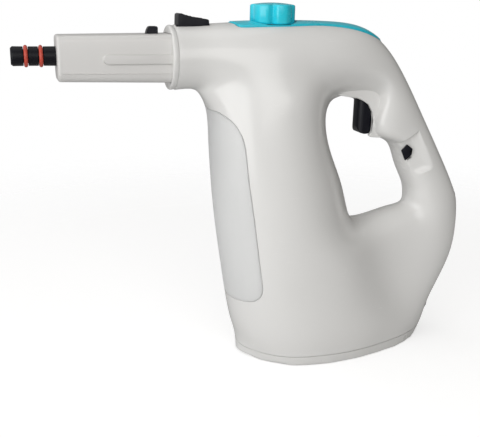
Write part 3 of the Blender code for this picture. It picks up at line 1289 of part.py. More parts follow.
def casing_features(side):
    """Ribs and bosses of one half, before they are clipped to the skin."""
    far = BODY_HALF_WIDTH + OVERRUN
    reach = side * far
    inner, outer = sorted((0, reach))
    boss = BOSS_RADIUS if side < 0 else SCREW_HEAD_RADIUS + GAP + COUNTERBORE_WALL
    features = []
    for share in CASING_SCREW_SHARES:
        features.append(cross_rod("boss", boss, place(share), inner, outer, SMALL_SIDES))
    for share in BASE_SCREW_SHARES:
        centre = place(share)
        if centre.y * side > 0:
            top = BASE_COVER_HEIGHT + BASE_POST_HEIGHT
            features.append(rod("post", BOSS_RADIUS, (centre.x, centre.y, BASE_COVER_HEIGHT),
                                (centre.x, centre.y, top), SMALL_SIDES))
            low, high = sorted((centre.y, reach))
            features.append(block("post_web", (centre.x - RIB / 2, low, BASE_COVER_HEIGHT + RIB),
                                  (centre.x + RIB / 2, high, top - RIB)))
    boiler_front = BOILER.x - BOILER_RADIUS
    boiler_rear = BOILER.x + BOILER_RADIUS + WALL * 2
    levels = [BOILER.z - GAP - RIB] + [BOILER.z + BOILER_HEIGHT * share for share in BOILER_RIB_SHARES]
    for low in levels:
        features.append(block("boiler_rib", (boiler_front, inner, low), (boiler_rear, outer, low + RIB)))
    for x in (PUMP_FRONT - PUMP_HEAD_LENGTH / 2, PUMP_REAR + PUMP_HEAD_LENGTH / 2 + YOKE_PLATE):
        features.append(block("pump_rib", (x - RIB / 2, inner, PUMP.z - PUMP_COIL_RADIUS),
                              (x + RIB / 2, outer, PUMP.z + PUMP_COIL_RADIUS)))
    for x in (VALVE.x - VALVE_LENGTH / 4, VALVE.x + VALVE_LENGTH / 4):
        features.append(block("valve_rib", (x - RIB / 2, inner, VALVE_BASE - RIB),
                              (x + RIB / 2, outer, VALVE.z + OVERRUN)))
    features.append(pin_plates(LATCH_PIVOT, PIN_PLATE_SPAN, side, HUB_RADIUS, LATCH_PIVOT.z - HUB_RADIUS,
                               LATCH_PIVOT.z + OVERRUN))
    features.append(pin_plates(TRIGGER_PIVOT, PIN_PLATE_SPAN, side, TRIGGER_HUB_RADIUS,
                               TRIGGER_PIVOT.z - OVERRUN / 2, TRIGGER_PIVOT.z + OVERRUN))
    for low in [SWITCH.z + SWITCH_HEIGHT * share for share in SWITCH_RIB_SHARES]:
        features.append(block("switch_rib", (SWITCH.x - SWITCH_DEPTH / 2 + CHAMFER, inner, low),
                              (SWITCH.x + SWITCH_DEPTH / 2 + RIB, outer, low + RIB)))
    for low in (TANK_BACK.z - GAP - RIB, TANK_TOP.z + GAP):
        features.append(block("tank_rib", (TANK_BACK.x - BOILER_RADIUS, inner, low),
                              (TANK_BACK.x - RIB, outer, low + RIB)))
    features.append(rod("gland_pad", GLAND_RADIUS + RIB, GLAND - GLAND_AXIS * GLAND_PAD,
                        GLAND + GLAND_AXIS * far))
    if side < 0:
        features.append(grip_block("slider_pad", (-SLIDER_PAD, SLIDER_PAD + SLIDER_TRAVEL),
                                   (-SLIDER_PAD, SLIDER_PAD), -far, SLIDER_PAD_FACE))
    return features


def boiler_clearance():
    solid = boiler_block("boiler_clearance", BOILER_RADIUS + GAP, BOILER.z - GAP, LID_TOP + GAP,
                         BOILER_HALF_WIDTH + GAP)
    stub = rod("stub_clearance", PUMP_BARB_RADIUS + GAP * 2, (BOILER.x, 0, BOILER.z - STUB_CLEARANCE),
               (BOILER.x, 0, BOILER.z + BOILER_STUB), SMALL_SIDES)
    return combine(solid, "UNION", stub)


def shared_cutters():
    """Openings and clearances that both halves share."""
    bore = barrel_solid("neck_bore", BARREL_FRONT, BARREL_REAR + GAP, -GAP)
    spindle = rod("spindle_way", SPINDLE_RADIUS + GAP, (DIAL.x, 0, VALVE.z), (DIAL.x, 0, DIAL.z + OVERRUN))
    throat = prism("trigger_throat", outline(THROAT_SHARES), -TRIGGER_THROAT / 2, TRIGGER_THROAT / 2)
    gland = rod("gland_hole", GLAND_NECK_RADIUS + GAP, GLAND - GLAND_AXIS * OVERRUN / 2,
                GLAND + GLAND_AXIS * OVERRUN)
    spot = rod("gland_spot", GLAND_RADIUS + GAP, GLAND - GLAND_AXIS * GLAND_SPOT,
               GLAND + GLAND_AXIS * OVERRUN)
    inside = rod("gland_inside", GLAND_RADIUS + GAP, GLAND - GLAND_AXIS * OVERRUN / 2,
                 GLAND - GLAND_AXIS * (GLAND_SPOT + GLAND_FLANGE))
    head = turned("pump_clearance", pump_profile(GAP), (0, 0, PUMP.z), (1, 0, 0))
    pins = []
    pin_end = PIN_PLATE_SPAN + PIN_PLATE + GAP
    for pivot in (LATCH_PIVOT, TRIGGER_PIVOT):
        pins.append(cross_rod("pin_hole", PIN_RADIUS + GAP, pivot, -pin_end, pin_end, SMALL_SIDES))
        pins.append(cross_rod("spring_way", SPRING_WAY_RADIUS, pivot, -PIN_PLATE_SPAN, PIN_PLATE_SPAN,
                              SMALL_SIDES))
    return [window(GAP), bore, button_slot(NECK.z), spindle, throat, gland, spot, inside, head,
            boiler_clearance(), valve_solid("valve_clearance", GAP), switch_box("switch_clearance", GAP),
            PLATE_CUT] + pins


def neck_lip():
    """Rounded bead round the front end of the neck."""
    crest = NECK_RADIUS + LIP_PROUD - LIP_ROUND
    profile = [(NECK_RADIUS - WALL / 2, GAP)]
    for middle, first in ((GAP + LIP_ROUND, -1), (LIP_WIDTH - LIP_ROUND, 0)):
        for step in range(LIP_STEPS + 1):
            angle = math.pi / 2 * (first + step / LIP_STEPS)
            profile.append((crest + LIP_ROUND * math.cos(angle), middle + LIP_ROUND * math.sin(angle)))
    profile.append((NECK_RADIUS - WALL / 2, LIP_WIDTH))
    return turned("neck_lip", profile, NECK, (1, 0, 0), LIP_SIDES)


def make_casing(name, side):
    shell = duplicate(name, OUTER)
    combine(shell, "UNION", neck_lip())
    combine(shell, "DIFFERENCE", INNER)
    features = casing_features(side)
    ribs = features[0]
    combine(ribs, "UNION", *features[1:])
    combine(ribs, "INTERSECT", CORE)
    combine(shell, "UNION", ribs)
    reach = side * (BODY_HALF_WIDTH + OVERRUN)
    low_y, high_y = sorted((side * GAP / 2, reach))
    half = block("half_space", (-BODY_LENGTH * 2, low_y, BASE_COVER_HEIGHT + GAP / 2),
                 (BODY_LENGTH * 2, high_y, BODY_HEIGHT * 2))
    combine(shell, "INTERSECT", half)
    combine(shell, "DIFFERENCE", *SHARED_CUTTERS)
    for share in CASING_SCREW_SHARES:
        screw = counterbored("screw_way", place(share), (0, 1, 0), HEAD_SEAT, SCREW_LENGTH + GAP,
                             BODY_HALF_WIDTH * 2)
        combine(shell, "DIFFERENCE", screw)
    for share in BASE_SCREW_SHARES:
        centre = place(share)
        if centre.y * side > 0:
            pilot = rod("pilot", SCREW_RADIUS + GAP, (centre.x, centre.y, 0),
                        (centre.x, centre.y, BASE_COVER_HEIGHT + BASE_POST_HEIGHT - RIB), SMALL_SIDES)
            combine(shell, "DIFFERENCE", pilot)
    if side < 0:
        combine(shell, "DIFFERENCE", thumb_recess(), slider_slot(),
                slider_flange("flange_way", GAP, SLIDER_TRAVEL))
    else:
        filler = cross_rod("filler_hole", FILLER_RADIUS + GAP, FILLER, BODY_HALF_WIDTH / 2,
                           BODY_HALF_WIDTH * 2, SMALL_SIDES * 2)
        combine(shell, "DIFFERENCE", filler)
    finish(name, shell, WHITE, 0.25)


def make_base_cover():
    cover = duplicate("base_cover", OUTER)
    slab = block("base_slab", (-BODY_LENGTH * 2, -BODY_LENGTH, 0),
                 (BODY_LENGTH * 2, BODY_LENGTH, BASE_COVER_HEIGHT - GAP / 2))
    combine(cover, "INTERSECT", slab)
    combine(cover, "DIFFERENCE", INNER)
    columns = []
    for share in BASE_SCREW_SHARES:
        centre = place(share)
        columns.append(rod("column", SCREW_HEAD_RADIUS + GAP + COUNTERBORE_WALL,
                           (centre.x, centre.y, WALL / 2),
                           (centre.x, centre.y, BASE_COVER_HEIGHT - GAP / 2), SMALL_SIDES))
    rib_top = BASE_COVER_HEIGHT - GAP / 2
    for side in (-1, 1):
        y = side * BASE_RIB_OFFSET
        columns.append(block("long_rib", (-BODY_LENGTH, y - RIB / 2, WALL / 2),
                             (BODY_LENGTH, y + RIB / 2, rib_top)))
    for number in range(BASE_RIBS):
        x = (number - BASE_RIBS / 2) * BASE_RIB_SPACING
        columns.append(block("cross_rib", (x - RIB / 2, -BODY_LENGTH, WALL / 2),
                             (x + RIB / 2, BODY_LENGTH, rib_top)))
    for end in (-1, 1):
        x = BLOCK.x + end * (BLOCK_LENGTH / 2 - RIB)
        columns.append(block("stand", (x - RIB / 2, -BLOCK_WIDTH / 2, WALL / 2),
                             (x + RIB / 2, BLOCK_WIDTH / 2, BLOCK_STAND)))
    ribs = columns[0]
    combine(ribs, "UNION", *columns[1:])
    combine(ribs, "INTERSECT", CORE)
    combine(cover, "UNION", ribs)
    for share in BASE_SCREW_SHARES:
        centre = place(share)
        screw = counterbored("base_screw_way", (centre.x, centre.y, 0), (0, 0, -1), -BASE_COVER_HEIGHT / 2,
                             BASE_SCREW_LENGTH, OVERRUN)
        combine(cover, "DIFFERENCE", screw)
    finish("base_cover", cover, WHITE, 0.3)


# Small fixed pieces

def make_gland():
    flange = GLAND_FLANGE
    seat = -GLAND_SPOT + GAP
    inner = -GLAND_SPOT - GLAND_FLANGE - GAP
    profile = [(GLAND_RADIUS - CHAMFER, seat + flange), (GLAND_RADIUS, seat + flange - CHAMFER),
               (GLAND_RADIUS, seat), (GLAND_NECK_RADIUS, seat), (GLAND_NECK_RADIUS, inner),
               (GLAND_RADIUS, inner), (GLAND_RADIUS, inner - flange), (GLAND_BORE, inner - flange),
               (GLAND_BORE, seat + flange)]
    gland = turned("cord_gland", profile, GLAND, GLAND_AXIS)
    finish("cord_gland", gland, RUBBER, 0.7)


def make_terminal_block():
    low = BLOCK_STAND + GAP
    body = block("terminal_block", (BLOCK.x - BLOCK_LENGTH / 2, -BLOCK_WIDTH / 2, low),
                 (BLOCK.x + BLOCK_LENGTH / 2, BLOCK_WIDTH / 2, low + BLOCK_HEIGHT))
    for step in (-1, 0, 1):
        x = BLOCK.x + step * BLOCK_LENGTH / 3
        hole = rod("clamp_hole", BLOCK_LENGTH / 10, (x, 0, low + BLOCK_HEIGHT / 2),
                   (x, 0, low + OVERRUN), SMALL_SIDES)
        combine(body, "DIFFERENCE", hole)
    finish("terminal_block", body, CREAM, 0.5)


def make_screw(name, centre, axis, head_seat, length):
    """Pan-head screw whose head rests at head_seat along the axis."""
    profile = [(0, head_seat - length), (SCREW_RADIUS - CHAMFER / 2, head_seat - length),
               (SCREW_RADIUS, head_seat - length + CHAMFER), (SCREW_RADIUS, head_seat),
               (SCREW_HEAD_RADIUS, head_seat), (SCREW_HEAD_RADIUS, head_seat + SCREW_HEAD / 2),
               (SCREW_HEAD_RADIUS * SCREW_CROWN_SHARE, head_seat + SCREW_HEAD), (0, head_seat + SCREW_HEAD)]
    screw = turned(name, profile, centre, axis, SMALL_SIDES)
    finish(name, screw, STEEL, 0.35, 1.0)


PLATE_CUT = plate_recess()
SHARED_CUTTERS = shared_cutters()
make_casing("casing_left", -1)
make_casing("casing_right", 1)
make_base_cover()
make_tank()
make_filler_plug()
make_tank_seal()
make_nozzle_tube()
make_spigot()
make_latch()
make_pin("latch_pin", LATCH_PIVOT, PIN_PLATE_SPAN)
make_torsion_spring("latch_spring", LATCH_PIVOT, ARM_WIDTH / 2 + GAP)
make_top_plate()
make_dial()
make_valve()
make_boiler()
make_boiler_fittings()
make_pump()
make_hoses()
make_trigger()
make_pin("trigger_pin", TRIGGER_PIVOT, PIN_PLATE_SPAN)
make_torsion_spring("trigger_spring", TRIGGER_PIVOT, TRIGGER_WIDTH / 2 + GAP)
make_microswitch()
make_slider()
make_gland()
make_terminal_block()
for number, share in enumerate(CASING_SCREW_SHARES, 1):
    make_screw("casing_screw_%d" % number, place(share), (0, 1, 0), HEAD_SEAT + GAP, SCREW_LENGTH)
for number, share in enumerate(BASE_SCREW_SHARES, 1):
    make_screw("base_screw_%d" % number, place(share), (0, 0, -1), -BASE_COVER_HEIGHT / 2 + GAP,
               BASE_SCREW_LENGTH)
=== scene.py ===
import math

import bpy
import bmesh
import numpy as np
from mathutils import Matrix, Vector


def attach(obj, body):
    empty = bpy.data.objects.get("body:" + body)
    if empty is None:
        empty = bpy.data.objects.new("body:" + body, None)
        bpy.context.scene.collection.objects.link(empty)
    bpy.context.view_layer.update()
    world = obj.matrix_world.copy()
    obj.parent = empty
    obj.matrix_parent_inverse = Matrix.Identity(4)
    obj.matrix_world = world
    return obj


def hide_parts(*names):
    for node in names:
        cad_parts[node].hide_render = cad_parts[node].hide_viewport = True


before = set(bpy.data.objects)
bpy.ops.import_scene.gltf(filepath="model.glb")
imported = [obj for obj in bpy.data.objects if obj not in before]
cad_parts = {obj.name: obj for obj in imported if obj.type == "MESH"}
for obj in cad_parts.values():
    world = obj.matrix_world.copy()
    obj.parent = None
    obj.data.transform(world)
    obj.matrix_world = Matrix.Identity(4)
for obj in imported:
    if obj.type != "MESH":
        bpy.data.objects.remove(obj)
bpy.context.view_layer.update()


# Casing halves
# The body is moulded in glossy white ABS as a near and a far half with walls 2.6 mm thick, which
# meet on the centre plane. The near half has the thumb recess of the trigger lock, the far half
# has the filler hole and the screw wells.
wall = 0.0026
running_gap = 0.0003
mould_shrink = 0.0002
seam_height = 0.0075
body_length, body_half_width, body_height = 0.200, 0.040, 0.240
neck_radius = 0.0203
well_outside = 0.120

below_hole = (
    ((-68.5, 0, 0), (-59.5, 21.5, 0), (-40, 35.5, 0), (-13, 39, 0), (12, 36.5, 0), (30, 32, 0),
     (46, 27, 0), (58, 21, 0), (67.5, 14.5, 0), (74, 7.5, 0), (76.5, 0, 0)),
    ((-73, 0, 14), (-65, 22.5, 14), (-43.5, 38, 14), (-13.5, 41.8, 14), (12, 39, 14),
     (31, 33.5, 14), (47, 27.5, 14), (60.5, 21.5, 14), (71.5, 15.5, 14), (79, 8.5, 14), (81, 0, 14)),
    ((-77.5, 0, 30), (-70, 23, 30), (-47, 39.5, 30), (-15, 43, 30), (11, 39, 30), (30, 32, 30),
     (46, 24.5, 30), (61, 19.5, 30), (75, 15.5, 30), (83.5, 9, 30), (86.3, 0, 30)),
    ((-82.5, 0, 60), (-75, 24, 60), (-51, 40.5, 60), (-17, 42, 60), (8, 35.5, 60), (28, 25, 60),
     (46, 19, 60), (64, 17.5, 59), (82, 16, 57), (94, 10, 55), (97, 0, 54)),
    ((-86.5, 0, 86), (-78.5, 24.5, 86), (-53, 41, 86), (-17, 40, 86), (8, 29, 86), (30, 18, 89),
     (51, 15.5, 94), (68, 17, 88), (84, 17, 82), (99, 11, 78), (102.5, 0, 77)),
    ((-89.5, 0, 110), (-81, 25.5, 109), (-54, 41, 108), (-16, 36, 106), (14, 0, 99.5), (33, 0, 100),
     (55, 0, 105.5), (68, 14.5, 104), (83, 17.5, 101.5), (98.5, 11.5, 100), (102.5, 0, 99.5)),
)
beside_hole = (
    ((-91.5, 0, 134), (-83, 26, 132), (-54, 40.5, 130), (-18, 33, 128), (4, 0, 126)),
    ((-93, 0, 160), (-85, 25.5, 158), (-56, 38.5, 156), (-24, 31, 154), (-7, 0, 152)),
    ((-95, 0, 180), (-87, 23.5, 177), (-58, 36.5, 176), (-27, 30, 174), (-11.5, 0, 172)),
)
above_hole = (
    ((-104, 0, 193.6), (-90, 20.5, 192.5), (-60, 34, 191), (-30, 31, 190), (-6, 0, 184.5),
     (8, 0, 188.5), (26, 0, 187)),
    ((-103, 15, 201), (-88, 21.5, 202), (-61, 30.5, 203), (-33, 28.5, 203.5), (-9, 22, 203),
     (10, 19, 202), (28.5, 16, 194)),
    ((-103, 20.5, 215), (-88, 23, 216), (-62, 27.5, 217), (-35, 27.5, 217.5), (-10, 26, 217.5),
     (12, 23, 214), (32, 19, 203)),
    ((-103, 14.8, 229.8), (-88, 16.5, 231), (-62, 19.5, 232.7), (-35, 20, 233.2), (-11, 19, 232.8),
     (14, 16.5, 228.5), (36, 13.5, 212.5)),
    ((-103, 0, 236.4), (-88, 0, 237.3), (-62, 0, 238.4), (-35, 0, 238.8), (-11, 0, 238.3),
     (15, 0, 234.3), (38, 0, 216.5)),
)
grip_rounds = (
    ((25.5, 0, 173), (27.5, 14.5, 175), (41, 18.5, 180), (53.5, 13, 185.5), (58, 0, 187.5)),
    ((28.5, 0, 160), (31.5, 15, 161), (47, 18, 166), (62.5, 12.5, 170.5), (67.5, 0, 171.5)),
    ((43, 0, 152.5), (47, 13.5, 153.5), (58, 17, 155.5), (71, 12, 157.5), (75.5, 0, 158)),
    ((51, 0, 137), (55, 13.5, 138), (67, 17, 140), (80, 12, 142), (84.5, 0, 143)),
    ((59, 0, 121), (63, 13.5, 122), (75.5, 17, 124), (89, 12, 126), (93.5, 0, 127)),
    ((60.5, 0, 112), (66, 14, 112), (80, 17.5, 112), (95.5, 12, 112.5), (100.3, 0, 113)),
)
neck_middle = (-119.5, 0, 215)


def spot(share):
    """A place on the body, from 200ths of its length, 40ths of its half width and 240ths of its height."""
    x, y, z = share
    return Vector((x * body_length / 200, y * body_half_width / 40, z * body_height / 240))


neck = spot(neck_middle)
neck_top = neck.z + neck_radius


def plain_mesh(piece):
    """The mesh that a piece's modifiers make."""
    bpy.context.view_layer.update()
    graph = bpy.context.evaluated_depsgraph_get()
    mesh = bpy.data.meshes.new_from_object(piece.evaluated_get(graph))
    mesh.materials.clear()
    return mesh


def blank(name, mesh):
    """A working solid, which is thrown away when the pieces it shapes are done."""
    piece = bpy.data.objects.new(name, mesh)
    bpy.context.scene.collection.objects.link(piece)
    blanks.append(piece)
    return piece


blanks = []


def closed_blank(name, shape):
    """A working solid from a bmesh, with its faces turned outwards."""
    bmesh.ops.recalc_face_normals(shape, faces=shape.faces)
    if shape.calc_volume(signed=True) < 0:
        bmesh.ops.reverse_faces(shape, faces=shape.faces)
    mesh = bpy.data.meshes.new(name)
    shape.to_mesh(mesh)
    shape.free()
    return blank(name, mesh)


def enclosed(mesh):
    """Volume of a mesh, or -1 where it is open."""
    shape = bmesh.new()
    shape.from_mesh(mesh)
    shut = all(len(edge.link_faces) == 2 for edge in shape.edges)
    volume = shape.calc_volume(signed=True) if shut else -1
    shape.free()
    return volume


def work(piece, operation, tools):
    """Works a piece with others in turn, by the second solver where the first one fails."""
    for tool in tools:
        own, other = enclosed(piece.data), enclosed(tool.data)
        least, most = {"UNION": (max(own, other), own + other), "INTERSECT": (0, min(own, other)),
                       "DIFFERENCE": (own - other, own)}[operation]
        for solver in ("EXACT", "MANIFOLD"):
            step = piece.modifiers.new("step", "BOOLEAN")
            step.operation, step.solver, step.object = operation, solver, tool
            mesh = plain_mesh(piece)
            piece.modifiers.clear()
            volume = enclosed(mesh)
            if volume > 0 and least - own * 0.01 < volume < most + own * 0.01:
                break
        piece.data = mesh
    return piece


def cut(piece, *tools):
    """Takes other solids away from a piece."""
    return work(piece, "DIFFERENCE", tools)


def join(piece, *tools):
    """Joins other solids to a piece."""
    return work(piece, "UNION", tools)


def clip(piece, *tools):
    """Keeps what lies of a piece inside other solids."""
    return work(piece, "INTERSECT", tools)


def bar(name, low, high):
    """A square-edged solid between two corners."""
    shape = bmesh.new()
    bmesh.ops.create_cube(shape, size=1)
    for vert in shape.verts:
        for axis in range(3):
            vert.co[axis] = low[axis] if vert.co[axis] < 0 else high[axis]
    return closed_blank(name, shape)


def round_bar(name, radius, start, end, sides=48):
    """A round solid from one point to another."""
    start, end = Vector(start), Vector(end)
    shape = bmesh.new()
    bmesh.ops.create_cone(shape, cap_ends=True, segments=sides, radius1=radius, radius2=radius,
                          depth=(end - start).length)
    turn = Vector((0, 0, 1)).rotation_difference(end - start).to_matrix().to_4x4()
    bmesh.ops.transform(shape, matrix=Matrix.Translation((start + end) / 2) @ turn, verts=shape.verts)
    return closed_blank(name, shape)


def upright_bar(name, radius, x, low, high, sides=48):
    """A round solid that stands in the centre plane."""
    return round_bar(name, radius, (x, 0, low), (x, 0, high), sides)


def level_bar(name, radius, z, front, rear, sides=48):
    """A round solid that lies along the centre plane."""
    return round_bar(name, radius, (front, 0, z), (rear, 0, z), sides)


def cross_bar(name, radius, middle, near, far, sides=48):
    """A round solid across the body, from one side place to another."""
    return round_bar(name, radius, (middle.x, near, middle.z), (middle.x, far, middle.z), sides)


def eased(points, steps, sharp=()):
    """A closed outline drawn smoothly through its points, but straight at the sharp ones."""
    count = len(points)
    drawn = []
    for index in range(count):
        before, start, end, after = (Vector(points[(index + away) % count]) for away in (-1, 0, 1, 2))
        leave = (end - start) if index in sharp else (end - before) / 2
        arrive = (end - start) if (index + 1) % count in sharp else (after - start) / 2
        straight = index in sharp and (index + 1) % count in sharp
        for step in range(1 if straight else steps):
            share = step / steps
            drawn.append(tuple(start * (2 * share ** 3 - 3 * share ** 2 + 1)
                               + leave * (share ** 3 - 2 * share ** 2 + share)
                               + end * (3 * share ** 2 - 2 * share ** 3)
                               + arrive * (share ** 3 - share ** 2)))
    return drawn


def loft(name, rings):
    """A closed solid over like rings of points."""
    shape = bmesh.new()
    made = [[shape.verts.new(point) for point in ring] for ring in rings]
    for one, other in zip(made, made[1:]):
        for index in range(len(one)):
            after = (index + 1) % len(one)
            shape.faces.new((one[index], one[after], other[after], other[index]))
    shape.faces.new(made[0])
    shape.faces.new(made[-1])
    bmesh.ops.triangulate(shape, faces=[face for face in shape.faces if len(face.verts) > 4])
    return closed_blank(name, shape)


def slab(name, points, low, high, along="Y"):
    """A flat outline with thickness: along Y its points are (x, z), along Z they are (x, y)."""
    return loft(name, [[(first, depth, second) if along == "Y" else (first, second, depth)
                        for first, second in points] for depth in (low, high)])


def widened(points, distance):
    """An outline moved outwards by a distance."""
    count = len(points)
    area = sum(points[index][0] * points[(index + 1) % count][1]
               - points[(index + 1) % count][0] * points[index][1] for index in range(count))
    side = 1 if area > 0 else -1
    moved = []
    for index in range(count):
        before = Vector(points[index]) - Vector(points[index - 1])
        after = Vector(points[(index + 1) % count]) - Vector(points[index])
        first = Vector((before.y, -before.x)).normalized() * side
        second = Vector((after.y, -after.x)).normalized() * side
        middle = (first + second).normalized()
        moved.append(tuple(Vector(points[index]) + middle * distance / max(middle.dot(second), 0.5)))
    return moved


def body_cage():
    """Coarse cage whose smoothed skin passes through the points above, far side half mirrored."""
    lines = ("front", "front side", "side", "rear side", "root", "middle", "grip0", "grip1", "grip2",
             "grip3", "grip4")
    points = {}
    for level, row in enumerate(below_hole + beside_hole):
        for line, share in zip(lines, row):
            points[line, level] = spot(share)
    first = len(below_hole) + len(beside_hole)
    for step, row in enumerate(above_hole):
        angle = math.pi * (step / 4 - 0.5)
        points["neck", first + step] = Vector((neck.x, neck_radius * math.cos(angle),
                                               neck.z + neck_radius * math.sin(angle)))
        for line, share in zip(lines, row):
            points[line, first + step] = spot(share)
    for section, row in enumerate(grip_rounds):
        for ring, share in enumerate(row):
            points[section, ring] = spot(share)
    faces = []

    def panels(names, levels):
        for level in levels:
            for left, right in zip(names, names[1:]):
                faces.append(((left, level), (right, level), (right, level + 1), (left, level + 1)))

    rows = len(below_hole)
    panels(lines, range(rows - 1))
    panels(lines[:5], range(rows - 1, first))
    panels(("neck",) + lines[:7], range(first, first + 4))
    rounds = [[("grip0", first + ring) for ring in range(5)]]
    rounds += [[(section, ring) for ring in range(5)] for section in range(len(grip_rounds))]
    rounds += [[("grip%d" % ring, rows - 1) for ring in range(5)]]
    for upper, lower in zip(rounds, rounds[1:]):
        for ring in range(4):
            faces.append((lower[ring], lower[ring + 1], upper[ring + 1], upper[ring]))
    foot = [(line, 0) for line in lines]
    rim = [("neck", first + step) for step in range(5)]
    heel = [(len(grip_rounds) - 1, ring) for ring in (3, 4)]
    faces += [tuple(reversed(foot)), tuple(rim)]
    number = {key: index for index, key in enumerate(points)}
    shape = bmesh.new()
    crease = shape.edges.layers.float.new("crease_edge")
    verts = [shape.verts.new(point) for point in points.values()]
    for face in faces:
        shape.faces.new([verts[number[key]] for key in face])
    for line, hardness in ((rim, 0.75), (foot, 0.80), (heel, 0.50)):
        for one, other in zip(line, line[1:]):
            shape.edges.get((verts[number[one]], verts[number[other]]))[crease] = hardness
    cage = closed_blank("body_cage", shape)
    mirror = cage.modifiers.new("far side", "MIRROR")
    mirror.use_axis = (False, True, False)
    mirror.merge_threshold = 0.00001
    smooth = cage.modifiers.new("smooth", "SUBSURF")
    smooth.levels = smooth.render_levels = 2
    wanted = np.array([tuple(point) for point in points.values()])
    corners = wanted.copy()
    for _ in range(8):
        cage.data.vertices.foreach_set("co", corners.ravel())
        skinned = plain_mesh(cage)
        miss = wanted - np.array([tuple(skinned.vertices[index].co) for index in range(len(wanted))])
        miss[wanted[:, 1] == 0, 1] = 0
        corners += miss * 0.9
    cage.data.vertices.foreach_set("co", corners.ravel())
    return cage


cage = body_cage()


def body_skin(name, depth=0.0, fineness=3):
    """The body's closed skin, moved in by a depth."""
    cage.modifiers["smooth"].levels = cage.modifiers["smooth"].render_levels = fineness
    mesh = plain_mesh(cage)
    normals = [vertex.normal.copy() for vertex in mesh.vertices]
    for vertex, normal in zip(mesh.vertices, normals):
        vertex.co -= normal * (depth + mould_shrink)
        vertex.co.z = max(vertex.co.z, 0) if depth <= 0 else vertex.co.z
    shape = bmesh.new()
    shape.from_mesh(mesh)
    bmesh.ops.triangulate(shape, faces=shape.faces)
    return closed_blank(name, shape)


outer_skin = body_skin("outer_skin")
inner_skin = body_skin("inner_skin", wall, 2)


def outline_at(shares):
    """A side-view outline on the body, as (x, z) pairs."""
    return [(spot((x, 0, z)).x, spot((x, 0, z)).z) for x, z in shares]


window_edge = eased(outline_at((
    (-125, 182), (-96, 181.5), (-90, 179.5), (-85, 175.5), (-81, 169.5), (-78.3, 162), (-77, 153),
    (-75, 135), (-72, 115), (-69, 94), (-66, 73), (-64.3, 62), (-64.6, 56), (-67, 51.5), (-71, 49),
    (-76, 47.8), (-82, 47), (-125, 46.5))), 4, sharp=(0, 17))


def window(name, grow=0.0):
    """The opening over the tank, through both sides."""
    return slab(name, widened(window_edge, grow), -well_outside, well_outside)


barrel_half_width, barrel_half_height, barrel_taper = 0.0136, 0.0141, 0.0012
barrel_reach, barrel_insert = 0.0735, 0.0115
barrel_front, barrel_rear = neck.x - barrel_reach, neck.x + barrel_insert
top_corner, bottom_corner = 0.0042, 0.0066


def barrel_round(x, inset=0.0):
    """The barrel's section at an X place: flat sides, tight top corners and fuller bottom ones."""
    scale = 1 + barrel_taper / barrel_half_width * (x - barrel_front) / barrel_reach
    half_width = barrel_half_width * scale - inset
    half_height = barrel_half_height * scale - inset
    ring = []
    for quarter in range(4):
        side_y = 1 if quarter in (0, 3) else -1
        side_z = 1 if quarter in (0, 1) else -1
        corner = max((top_corner if side_z > 0 else bottom_corner) - inset, 0.0004)
        for step in range(9):
            angle = math.pi / 2 * (quarter + step / 8)
            ring.append(Vector((x, side_y * (half_width - corner) + corner * math.cos(angle),
                                neck.z + side_z * (half_height - corner) + corner * math.sin(angle))))
    return ring


plate_half = ((-81.5, 0), (-79.5, 7), (-76.5, 13), (-60, 14.9), (-43, 15.2), (-20, 13.3), (0, 13.6),
              (12, 13), (21, 10.5), (28, 5.5), (30.5, 0))
plate_round = plate_half + tuple((x, -y) for x, y in plate_half[-2:0:-1])
plate_edge = eased([(spot((x, y, 0)).x, spot((x, y, 0)).y) for x, y in plate_round], 4)
plate_recess, plate_proud = 0.0012, 0.0008
plate_bottom = spot((0, 0, 205)).z
dial_middle = spot((-51, 0, 238.8))
spindle_radius = 0.0032
spindle_bore = spindle_radius + running_gap
slider_spot = spot((51.2, 0, 147.5))
thumb_floor, thumb_slope = 0.0118, 0.19
grip_line = Vector((0.529, 0, -0.849)).normalized()
slider_stem, slider_travel, slider_flange_depth = 0.0030, 0.0040, 0.0012
slider_pad_face = -thumb_floor + 0.0033
gland_spot, gland_line = spot((83.9, 0, 22)), Vector((0.95, 0, -0.312)).normalized()
gland_radius, gland_neck_radius, gland_depth = 0.0068, 0.0050, 0.0022
filler_middle, filler_radius, filler_root = spot((-61.5, 0, 168)), 0.0080, 0.020
filler_hole = filler_radius + running_gap
button_front, button_length, button_width = neck.x + 0.0030, 0.0205, 0.0120
throat_half = 0.0068
casing_screw_spots = [spot(share) for share in ((-97, 0, 200), (-19, 0, 225), (41, 0, 204), (78, 0, 120),
                                                (80, 0, 42), (2, 0, 22))]
screw_head_seat, screw_head_radius = 0.0100, 0.0029


def spun(name, profile, start, axis, sides):
    """A turned solid. The profile is (radius, distance along the axis) pairs, down the outside and
    back up the bore."""
    turn = Vector((0, 0, 1)).rotation_difference(Vector(axis)).to_matrix()
    shape = bmesh.new()
    rings = []
    for radius, distance in profile:
        count = 1 if radius == 0 else sides
        angles = [math.tau * step / sides for step in range(count)]
        rings.append([shape.verts.new(Vector(start) + turn @ Vector((
            radius * math.cos(angle), radius * math.sin(angle), distance))) for angle in angles])
    for one, other in zip(rings, rings[1:] + rings[:1]):
        for step in range(sides):
            after = (step + 1) % sides
            if len(one) > 1 and len(other) > 1:
                shape.faces.new((one[step], one[after], other[after], other[step]))
            elif len(other) > 1:
                shape.faces.new((one[0], other[after], other[step]))
            elif len(one) > 1:
                shape.faces.new((one[step], one[after], other[0]))
    return closed_blank(name, shape)


def swept_arc(middle, radius, start, end):
    """Points of a round corner in a profile, from one angle in degrees to another."""
    angles = [math.radians(start + (end - start) * step / 6) for step in range(7)]
    return [(middle[0] + radius * math.cos(angle), middle[1] + radius * math.sin(angle)) for angle in angles]


